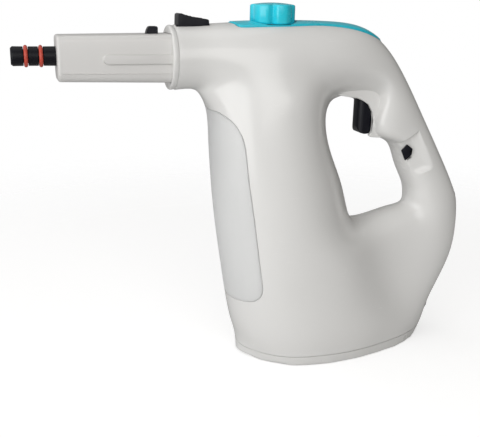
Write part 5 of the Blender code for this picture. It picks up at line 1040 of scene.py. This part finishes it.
# Filler plug and tank seal
# A black EPDM plug with a finger rim closes the filler neck from the far side. A small grommet seals
# the suction hose in the outlet.
soft_black = moulded("black_epdm_rubber", (0.022, 0.022, 0.023), 0.62, edge=0.0003, grain=0.30, mottle=0.10,
                     seed=14.2)
plug_seat, plug_stem = filler_face + running_gap, 0.0080
plug_top, rim_radius, stem_radius = plug_seat + 0.0024, filler_radius - running_gap, filler_bore - running_gap
profile = [(radius, plug_top - drop) for radius, drop in (
    (0, 0.0008), (0.0030, 0.0008), (0.0036, 0.0002), (0.0044, 0), (filler_radius - 0.0012, 0),
    (filler_radius - 0.0005, 0.0003), (rim_radius, 0.0010))]
profile += [(rim_radius, plug_seat), (stem_radius, plug_seat)]
for step in range(3):
    depth = plug_seat - 0.0018 - step * 0.0020
    profile += [(filler_bore - 0.0006, depth + 0.0006), (stem_radius, depth),
                (filler_bore - 0.0006, depth - 0.0006)]
profile += [(filler_bore - 0.0010, plug_seat - plug_stem), (0, plug_seat - plug_stem)]
stopper = spun("stopper", profile, (filler_middle.x, 0, filler_middle.z), (0, 1, 0), 72)
finished(stopper, "filler_stopper", "plug", soft_black, ["filler_plug"], 40)
pipe_radius, seal_face = 0.0022, tank_back + running_gap
hose_bore = pipe_radius + running_gap
profile = [(outlet_radius - running_gap, tank_back - tank_wall), (outlet_radius - running_gap, seal_face),
           (0.0058, seal_face), (0.0058, seal_face + 0.0012), (0.0055, seal_face + 0.0015),
           (hose_bore, seal_face + 0.0015), (hose_bore, tank_back - tank_wall)]
grommet = spun("grommet", profile, (0, 0, outlet_z), (1, 0, 0), 48)
finished(grommet, "outlet_grommet", "housing", soft_black, ["tank_seal"], 40)


# Boiler and its fittings
# A die-cast aluminium block with cooling fins and a lid that four screws clamp on. A ceramic
# thermostat and a thermal fuse sit on one side, the heater terminals on the other.
pump_middle_x, pump_z = tank_back + 0.0515, spot((0, 0, 52)).z
boiler_x, boiler_z = spot((-30, 0, 0)).x, pump_z + 0.032
boiler_radius, boiler_half, boiler_height, lid_height = 0.0170, 0.0152, 0.066, 0.005
boiler_top = boiler_z + boiler_height
lid_low = boiler_top + running_gap
lid_top = lid_low + lid_height


def boiler_round(name, low, high):
    """A round of the boiler with a flat on each side."""
    column = upright_bar(name, boiler_radius, boiler_x, low, high, 72)
    return clip(column, bar("flats", (boiler_x - 0.05, -boiler_half, low - 0.05),
                            (boiler_x + 0.05, boiler_half, high + 0.05)))


cast_aluminium = brushed("cast_aluminium", (0.66, 0.67, 0.68), 0.42, wear=0.12, scale=40, seed=15.5)
block = boiler_round("block", boiler_z, boiler_top)
for step in range(9):
    low = boiler_z + 0.012 + step * 0.0055
    groove = [(boiler_radius - 0.0011, low), (boiler_radius + 0.01, low),
              (boiler_radius + 0.01, low + 0.0022), (boiler_radius - 0.0011, low + 0.0022)]
    cut(block, spun("fin_gap", groove, (boiler_x, 0, 0), (0, 0, 1), 72))
join(block, upright_bar("inlet", 0.0028, boiler_x, boiler_z - 0.004, boiler_z + 0.004, 32))
finished(block, "boiler_casting", "housing", cast_aluminium, ["boiler_body"])
lid = boiler_round("lid", lid_low, lid_top)
join(lid, upright_bar("outlet", 0.0044, boiler_x, lid_low + 0.0025, lid_top + 0.0040, 32))
cut(lid, upright_bar("outlet_bore", hose_bore, boiler_x, lid_top + 0.0012, lid_top + 0.02, 32))
for turn in (0.6, 2.54, 3.74, 5.68):
    head = Vector((boiler_x + 0.0125 * math.cos(turn), 0.0125 * math.sin(turn), lid_top - 0.0004))
    join(lid, round_bar("clamp_screw", 0.0022, head - Vector((0, 0, 0.001)),
                        head + Vector((0, 0, 0.0012)), 6))
finished(lid, "boiler_lid_casting", "housing", cast_aluminium, ["boiler_lid"])
boiler_face = boiler_half + running_gap
disc_z = boiler_z + boiler_height * 0.55
profile = [(0, -boiler_face)] + [(radius, -boiler_face - out) for radius, out in (
    (0.0080, 0), (0.0080, 0.0016), (0.0072, 0.0020), (0.0072, 0.0058), (0.0066, 0.0066), (0.0040, 0.0070),
    (0, 0.0070))]
disc = spun("disc", profile, (boiler_x, 0, disc_z), (0, 1, 0), 56)
cream_ceramic = moulded("cream_ceramic", (0.66, 0.60, 0.48), 0.46, edge=0.0003, grain=0.25, mottle=0.12,
                        seed=16.1)
finished(disc, "thermostat_disc", "housing", cream_ceramic, ["thermostat"])
fuse_half = [(0, -0.0070), (0.0008, -0.0070), (0.0009, -0.0056), (0.0017, -0.0052), (0.0020, -0.0046)]
profile = fuse_half + [(radius, -along) for radius, along in reversed(fuse_half)]
fuse = spun("fuse", profile, (boiler_x, -boiler_face - 0.0020, disc_z + 0.0080 + 0.0040), (1, 0, 0), 36)
finished(fuse, "thermal_fuse_can", "housing", bright_steel, ["thermal_fuse"], 40)
low = boiler_z + boiler_height * 0.3
terminals = rounded(bar("terminals", (boiler_x - 0.008, boiler_face, low),
                        (boiler_x + 0.008, boiler_face + 0.004, low + 0.008)), 0.0006, 2)
for x in (boiler_x - 0.004, boiler_x + 0.004):
    blade = bar("blade", (x - 0.0004, boiler_face + 0.002, low + 0.002),
                (x + 0.0004, boiler_face + 0.0115, low + 0.006))
    cut(blade, round_bar("blade_hole", 0.0008, (x - 0.01, boiler_face + 0.0090, low + 0.004),
                         (x + 0.01, boiler_face + 0.0090, low + 0.004), 24))
    join(terminals, blade)
finished(terminals, "heater_terminal_strip", "housing", cream_ceramic, ["heater_terminals"])


# Pump
# A small solenoid pump: a coil wound in black tape between plastic ends with hose barbs, in a
# bent sheet-steel yoke.
coil_radius, coil_length, head_radius, head_length = 0.0150, 0.036, 0.0090, 0.0100
barb_radius, barb_length = 0.0028, 0.0080
pump_front, pump_rear = pump_middle_x - coil_length / 2, pump_middle_x + coil_length / 2


def pump_end(coil_end, outward):
    """One plastic end of the pump, with its three-ridged hose barb, from the coil outwards."""
    head = coil_end + outward * head_length
    points = [(coil_radius, coil_end - outward * 0.0014), (coil_radius, coil_end), (head_radius, coil_end),
              (head_radius, head - outward * 0.0004), (head_radius - 0.0004, head)]
    for step in range(3):
        at = head + outward * (0.0008 + step * 0.0024)
        points += [(barb_radius, at), (barb_radius - 0.0005, at + outward * 0.0019)]
    return points + [(barb_radius - 0.0006, head + outward * barb_length), (0, head + outward * barb_length)]


turns_wound = []
for step in range(24):
    at = pump_front + 0.0016 + (coil_length - 0.0032) * step / 24
    turns_wound += [(coil_radius - 0.0012, at), (coil_radius - 0.0008, at + 0.0007)]
profile = pump_end(pump_front, -1)[::-1] + turns_wound + pump_end(pump_rear, 1)
solenoid = spun("solenoid", profile, (0, 0, pump_z), (1, 0, 0), 72)
black_pump = moulded("black_pump_nylon", (0.030, 0.030, 0.033), 0.45, edge=0.0002, grain=0.18, mottle=0.12,
                     seed=17.7)
finished(solenoid, "solenoid_pump", "housing", black_pump, ["pump_body"])
yoke_sheet = 0.0016
yoke_inner = coil_radius + running_gap
yoke_front, yoke_rear = pump_front - running_gap, pump_rear + running_gap
yoke_outer = yoke_inner + yoke_sheet
yoke = rounded(bar("yoke", (yoke_front - yoke_sheet, -coil_radius, pump_z - yoke_outer),
                   (yoke_rear + yoke_sheet, coil_radius, pump_z + yoke_outer)), 0.0012, 3, 80)
cut(yoke, bar("yoke_room", (yoke_front, -0.05, pump_z - yoke_inner),
              (yoke_rear, 0.05, pump_z + yoke_inner)),
    level_bar("yoke_bore", head_radius + running_gap, pump_z, pump_front - 0.05, pump_rear + 0.05))
zinc_sheet = brushed("zinc_plated_sheet", (0.52, 0.54, 0.57), 0.36, seed=18.3)
finished(yoke, "pump_yoke_plate", "housing", zinc_sheet, ["pump_yoke"])


# Steam valve
# A machined brass block with a hose port at each end. The dial's spindle turns in its top, inside a
# hexagonal gland nut, to open and shut it.
valve_x, valve_top = spot((-51, 0, 0)).x, spot((0, 0, 232)).z
valve_low, port_z = valve_top - 0.022, valve_top - 0.0175
valve_front, valve_rear = valve_x - 0.016, valve_x + 0.016
valve = rounded(bar("valve", (valve_x - 0.012, -0.0085, valve_low), (valve_x + 0.012, 0.0085, valve_top)),
                0.0007, 2)
join(valve, level_bar("port", 0.0044, port_z, valve_front, valve_rear, 6),
     upright_bar("gland_nut", 0.0068, valve_x, valve_top - 0.003, valve_top - 0.0001, 6))
cut(valve, level_bar("front_bore", hose_bore, port_z, valve_front - 0.02, valve_front + 0.0028, 32),
    level_bar("rear_bore", hose_bore, port_z, valve_rear - 0.0028, valve_rear + 0.02, 32),
    upright_bar("stem_bore", spindle_bore, valve_x, valve_top - 0.0043, overhead))
finished(valve, "brass_valve", "housing", turned_brass, ["steam_valve"])


# Hoses
# Milky silicone hose: from the tank to the pump, from the pump up over its coil to the boiler, from
# the boiler to the valve, and from the valve through the barrel to the spigot.
silicone = shaded(moulded("milky_silicone", (0.60, 0.57, 0.52), 0.48, edge=0, grain=0.15, mottle=0.06,
                          seed=19.9), {"Subsurface Weight": 0.3, "Subsurface Scale": 0.002})


def hose(name, node, corners):
    """A round hose along corners in the centre plane, with a smooth bend at each one."""
    corners = [Vector((x, 0, z)) for x, z in corners]
    line = [corners[0]]
    for before, corner, after in zip(corners, corners[1:], corners[2:]):
        arrive, leave = corner - before, after - corner
        setback = min(0.006 * math.tan(arrive.angle(leave) / 2), arrive.length / 2, leave.length / 2)
        first, last = corner - arrive.normalized() * setback, corner + leave.normalized() * setback
        for step in range(9):
            share = step / 8
            line.append(first.lerp(corner, share).lerp(corner.lerp(last, share), share))
    line.append(corners[-1])
    rings = []
    for index, point in enumerate(line):
        along = (line[min(index + 1, len(line) - 1)] - line[max(index - 1, 0)]).normalized()
        up = along.cross(Vector((0, 1, 0))).normalized()
        rings.append([point + Vector((0, 1, 0)) * pipe_radius * math.cos(math.tau * part / 24)
                      + up * pipe_radius * math.sin(math.tau * part / 24) for part in range(24)])
    finished(loft(name, rings), name, "housing", silicone, [node], 50)


pump_inlet = pump_front - head_length - barb_length - running_gap
feed_start = pump_rear + head_length + barb_length + running_gap
between = (tank_back + pump_inlet) / 2
over = pump_z + coil_radius + 0.0016 + pipe_radius + 0.001
barrel_line = neck.z - 0.0045
tail = barrel_front + barrel_wall + 0.0025 + 0.0060 - 0.0025 + running_gap * 2
hose("suction_hose", "suction_tube", [(tank_back - 0.004, outlet_z), (between - pipe_radius, outlet_z),
                                      (between + pipe_radius, pump_z), (pump_inlet, pump_z)])
hose("feed_hose", "feed_tube", [(feed_start, pump_z), (feed_start + 0.008, pump_z),
                                (feed_start + 0.008, over), (boiler_x, over),
                                (boiler_x, boiler_z - 0.004 - running_gap)])
hose("steam_hose", "steam_pipe", [(boiler_x, lid_top + 0.0015), (boiler_x, port_z),
                                  (valve_rear - 0.0025, port_z)])
hose("outlet_hose", "outlet_pipe", [(valve_front + 0.0025, port_z), (valve_front - 0.008, port_z),
                                    (neck.x + 0.0115, barrel_line), (tooth_rear - 0.015, barrel_line),
                                    (tail + 0.010, spigot_z), (tail, spigot_z)])


# Trigger
# The black acetal trigger under the handle's root, with a rounded front and a hub on a steel pin,
# turned back by a torsion spring. Its tail works the microswitch.
trigger_pivot = spot((24, 0, 197))
trigger_half = 0.0126 / 2
edge = eased(outline_at((
    (19.2, 198.5), (16.2, 193), (13.9, 188), (13.1, 183), (13.3, 177), (13.5, 170), (14.0, 166.6),
    (15.0, 163.8), (16.6, 162.0), (19.0, 161.2), (22, 161.4), (24.6, 162.4), (25.8, 165), (26.2, 170),
    (28.3, 176), (34.8, 177.4), (34.8, 180.2), (30.5, 184.5), (29.4, 190), (28.9, 197.5))), 3, sharp=(15, 16))
lever = slab("trigger_lever", edge, -trigger_half, trigger_half)
join(lever, cross_bar("hub", 0.0050, trigger_pivot, -trigger_half, trigger_half))
lever = rounded(lever, 0.0026, 6, 50)
nose, plan_half = spot((13.4, 0, 0)).x, trigger_half + 0.0001
plan = [(nose + 0.0050 * (1 - math.cos(turn)), plan_half * math.sin(turn))
        for turn in [math.pi * (step / 16 - 0.5) for step in range(17)]]
plan += [(nose + 0.04, plan_half), (nose + 0.04, -plan_half)]
clip(lever, slab("finger_plan", plan, 0.1, overhead, "Z"))
cut(lever, cross_bar("pin_bore", pin_hole, trigger_pivot, -0.05, 0.05, 32))
finished(lever, "trigger_lever", "trigger", black_acetal, ["trigger"])
pin("trigger_hinge_pin", trigger_pivot, "trigger_pin")
torsion_spring("trigger_return_spring", trigger_pivot, trigger_half + running_gap, "trigger_spring")


# Microswitch
# A black snap switch behind the trigger, with a moulding seam on its near side, a small plunger and
# a sprung steel lever.
switch_depth, switch_half, switch_height = 0.0100, 0.0064 / 2, 0.0200
lever_front = spot((34.8, 0, 0)).x + 0.0006
switch_front, switch_z = lever_front + 0.0008 + 0.0028, spot((0, 0, 184)).z
switch_top, switch_rear = switch_z + switch_height / 2, switch_front + switch_depth
switch = rounded(bar("switch", (switch_front, -switch_half, switch_z - switch_height / 2),
                     (switch_rear, switch_half, switch_top)), 0.0004, 2)
join(switch, bar("ear", (lever_front, -switch_half, switch_top - 0.0005),
                 (switch_rear, switch_half, switch_top + 0.001)),
     bar("plunger", (switch_front - 0.0007, -0.001, switch_z - 0.001),
         (switch_front + 0.001, 0.001, switch_z + 0.001)))
cut(switch, bar("seam", (switch_front + 0.0030, -0.1, switch_z - 0.1),
                (switch_front + 0.0032, -switch_half + 0.0002, switch_z + 0.1)))
phenolic = moulded("black_phenolic", (0.026, 0.024, 0.024), 0.42, edge=0.0002, grain=0.15, seed=21.4)
finished(switch, "snap_switch", "housing", phenolic, ["microswitch_body"])
blade = bar("switch_blade", (lever_front, -switch_half + 0.0005, switch_z - switch_height * 0.35),
            (lever_front + 0.0008, switch_half - 0.0005, switch_top - 0.0005 - running_gap))
finished(rounded(blade, 0.00025, 2), "switch_spring_lever", "switch_lever", spring_steel,
         ["microswitch_lever"])


# Trigger lock
# The small black acetal hook in the thumb recess. Its stem slides along the grip in the near half's
# slot, and a flange behind the pad holds it in.
seat = -thumb_floor - slider_travel * thumb_slope - running_gap
offsets = ((-0.9, 6.2), (3.7, 3.0), (0.9, 1.2), (3.3, -1.5), (-1.6, -5.6), (-5.2, 2.0))
edge = [(slider_spot.x + spot((x, 0, 0)).x, slider_spot.z + spot((0, 0, z)).z) for x, z in offsets]
hook = rounded(slab("hook", edge, seat - 0.0016, seat), 0.0004, 3)
half = slider_stem / 2
inner = slider_pad_face + running_gap
join(hook,
     along_grip("stem", (-half, half), (-half, half), seat - 0.0008, slider_pad_face + slider_flange_depth),
     along_grip("flange", (-half - slider_flange_depth, half + slider_flange_depth),
                (-half, half + slider_stem), inner, inner + slider_flange_depth))
finished(hook, "lock_hook", "lock", black_acetal, ["lock_slider"])


# Cord gland
# A soft grommet low at the back, where the mains cord enters. It has a rounded collar and a
# clearance bore for the cord, which isn't part of the object.
outer_seat, inner_seat = -gland_depth + running_gap, -gland_depth - 0.0014 - running_gap
profile = [(0.0042, outer_seat + 0.0014), (gland_radius - 0.0010, outer_seat + 0.0014)]
profile += swept_arc((gland_radius - 0.0010, outer_seat + 0.0004), 0.0010, 90, 0)
profile += [(gland_radius, outer_seat), (gland_neck_radius, outer_seat), (gland_neck_radius, inner_seat),
            (gland_radius, inner_seat), (gland_radius, inner_seat - 0.0014), (0.0036, inner_seat - 0.0014),
            (0.0036, outer_seat + 0.0008)]
grommet = spun("cord_grommet", profile, gland_spot, gland_line, 64)
finished(grommet, "cord_inlet_grommet", "housing", soft_black, ["cord_gland"], 40)


# Terminal block
# A cream three-way block low in the rear of the body, where the cord's wires end, with a screw well
# and a wire way for each of them.
block_x, block_low = spot((60, 0, 0)).x, 0.0120 + running_gap
strip = rounded(bar("strip", (block_x - 0.008, -0.005, block_low),
                    (block_x + 0.008, 0.005, block_low + 0.011)), 0.0005, 2)
for step in (-1, 0, 1):
    x = block_x + step * 0.016 / 3
    cut(strip, upright_bar("well", 0.0016, x, block_low + 0.0055, block_low + 0.05, 24),
        round_bar("wire_way", 0.0012, (x, -0.02, block_low + 0.0035), (x, 0.02, block_low + 0.0035), 24))
finished(strip, "terminal_strip", "housing", cream_ceramic, ["terminal_block"])


# Studio
# A pale floor that keeps the soft shadow, a large lamp from the left front and two weaker ones, in a
# room that is lighter on the left than on the right and that only the camera sees as plain white.
floor_mesh = bpy.data.meshes.new("studio_floor")
floor_mesh.from_pydata([(-3, -3, 0), (3, -3, 0), (3, 3, 0), (-3, 3, 0)], [], [(0, 1, 2, 3)])
floor = bpy.data.objects.new("studio_floor", floor_mesh)
bpy.context.scene.collection.objects.link(floor)
floor.location.z = -0.0003
paper = bpy.data.materials.new("white_paper_sweep")
paper.use_nodes = True
tree = paper.node_tree
shaded(paper, {"Base Color": (0.62, 0.62, 0.62, 1), "Roughness": 0.9, "Specular IOR Level": 0.1})
sheet = tree.nodes["Principled BSDF"].outputs["BSDF"]
clear = wired(tree, "ShaderNodeBsdfTransparent")
reach = wired(tree, "ShaderNodeVectorMath", {0: wired(tree, "ShaderNodeTexCoord", out="Object")}, "Value",
              operation="LENGTH")
glow = wired(tree, "ShaderNodeEmission", {"Strength": 0.60})
raised = wired(tree, "ShaderNodeAddShader", {0: sheet, 1: glow})
seen_by = wired(tree, "ShaderNodeLightPath", out="Is Camera Ray")
lift = wired(tree, "ShaderNodeMixShader", {"Fac": seen_by, 1: sheet, 2: raised})
fade = wired(tree, "ShaderNodeMixShader", {"Fac": ranged(tree, reach, 0.28, 0.75, 0, 1), 1: lift, 2: clear})
face_side = wired(tree, "ShaderNodeNewGeometry", out="Backfacing")
one_sided = wired(tree, "ShaderNodeMixShader", {"Fac": face_side, 1: fade, 2: clear})
fed(tree, tree.nodes["Material Output"], {"Surface": one_sided})
floor.data.materials.append(paper)

room = bpy.data.worlds.new("white_room")
bpy.context.scene.world = room
room.use_nodes = True
tree = room.node_tree
tree.nodes.clear()
facing = wired(tree, "ShaderNodeTexCoord", out="Generated")
across = wired(tree, "ShaderNodeSeparateXYZ", {"Vector": facing}).node.outputs
strength = wired(tree, "ShaderNodeMath", {0: ranged(tree, across["X"], -0.9, 0.9, 0.64, 0.16),
                                          1: ranged(tree, across["Z"], -0.35, 0.10, 0.15, 1.0, "LINEAR")},
                 operation="MULTIPLY")
warmth = wired(tree, "ShaderNodeMix", {"Factor": ranged(tree, across["X"], -0.5, 0.9, 0, 1, "LINEAR"),
                                       "A": (1, 1, 1, 1), "B": (1.0, 0.955, 0.90, 1)}, "Result",
               data_type="RGBA")
room_light = wired(tree, "ShaderNodeBackground", {"Color": warmth, "Strength": strength})
backdrop = wired(tree, "ShaderNodeBackground", {"Color": (1, 1, 1, 1), "Strength": 1.0})
ray = wired(tree, "ShaderNodeLightPath", out="Is Camera Ray")
seen = wired(tree, "ShaderNodeMixShader", {"Fac": ray, 1: room_light, 2: backdrop})
fed(tree, tree.nodes.new("ShaderNodeOutputWorld"), {"Surface": seen})


def soft_lamp(name, place, aim_z, size, power, colour):
    """A square softbox that faces a point above the middle of the floor."""
    lamp = bpy.data.lights.new(name, "AREA")
    lamp.shape, lamp.size, lamp.energy, lamp.color = "SQUARE", size, power, colour
    holder = bpy.data.objects.new(name, lamp)
    bpy.context.scene.collection.objects.link(holder)
    holder.location = place
    holder.rotation_mode = "QUATERNION"
    holder.rotation_quaternion = (Vector((0, 0, aim_z)) - Vector(place)).to_track_quat("-Z", "Y")


soft_lamp("key_softbox", (-1.12, -0.84, 0.34), 0.08, 1.15, 9.0, (1.0, 1.0, 0.995))
soft_lamp("top_softbox", (-0.2, 0.1, 1.4), 0.1, 0.9, 2.0, (1.0, 1.0, 1.0))
soft_lamp("front_softbox", (-0.05, -1.30, 0.60), 0.1, 0.8, 3.6, (1.0, 0.99, 0.97))

eye = bpy.data.cameras.new("photo_view")
eye.sensor_width = 36
eye.lens = 740 / 480 * eye.sensor_width
eye.clip_start, eye.clip_end = 0.02, 20
viewer = bpy.data.objects.new("photo_view", eye)
bpy.context.scene.collection.objects.link(viewer)
ahead = Vector((0.2883, 0.9144, -0.2840)).normalized()
level = ahead.cross(Vector((0, 0, 1))).normalized()
upright = level.cross(ahead)
lean = math.radians(1.1)
right = level * math.cos(lean) + upright * math.sin(lean)
upward = upright * math.cos(lean) - level * math.sin(lean)
viewer.matrix_world = Matrix.Translation((-0.22295, -0.48215, 0.25212)) @ Matrix((
    (right.x, upward.x, -ahead.x, 0), (right.y, upward.y, -ahead.y, 0), (right.z, upward.z, -ahead.z, 0),
    (0, 0, 0, 1)))
bpy.context.scene.camera = viewer
bpy.context.scene.view_settings.view_transform = "Standard"

for leftover in blanks:
    bpy.data.objects.remove(leftover)
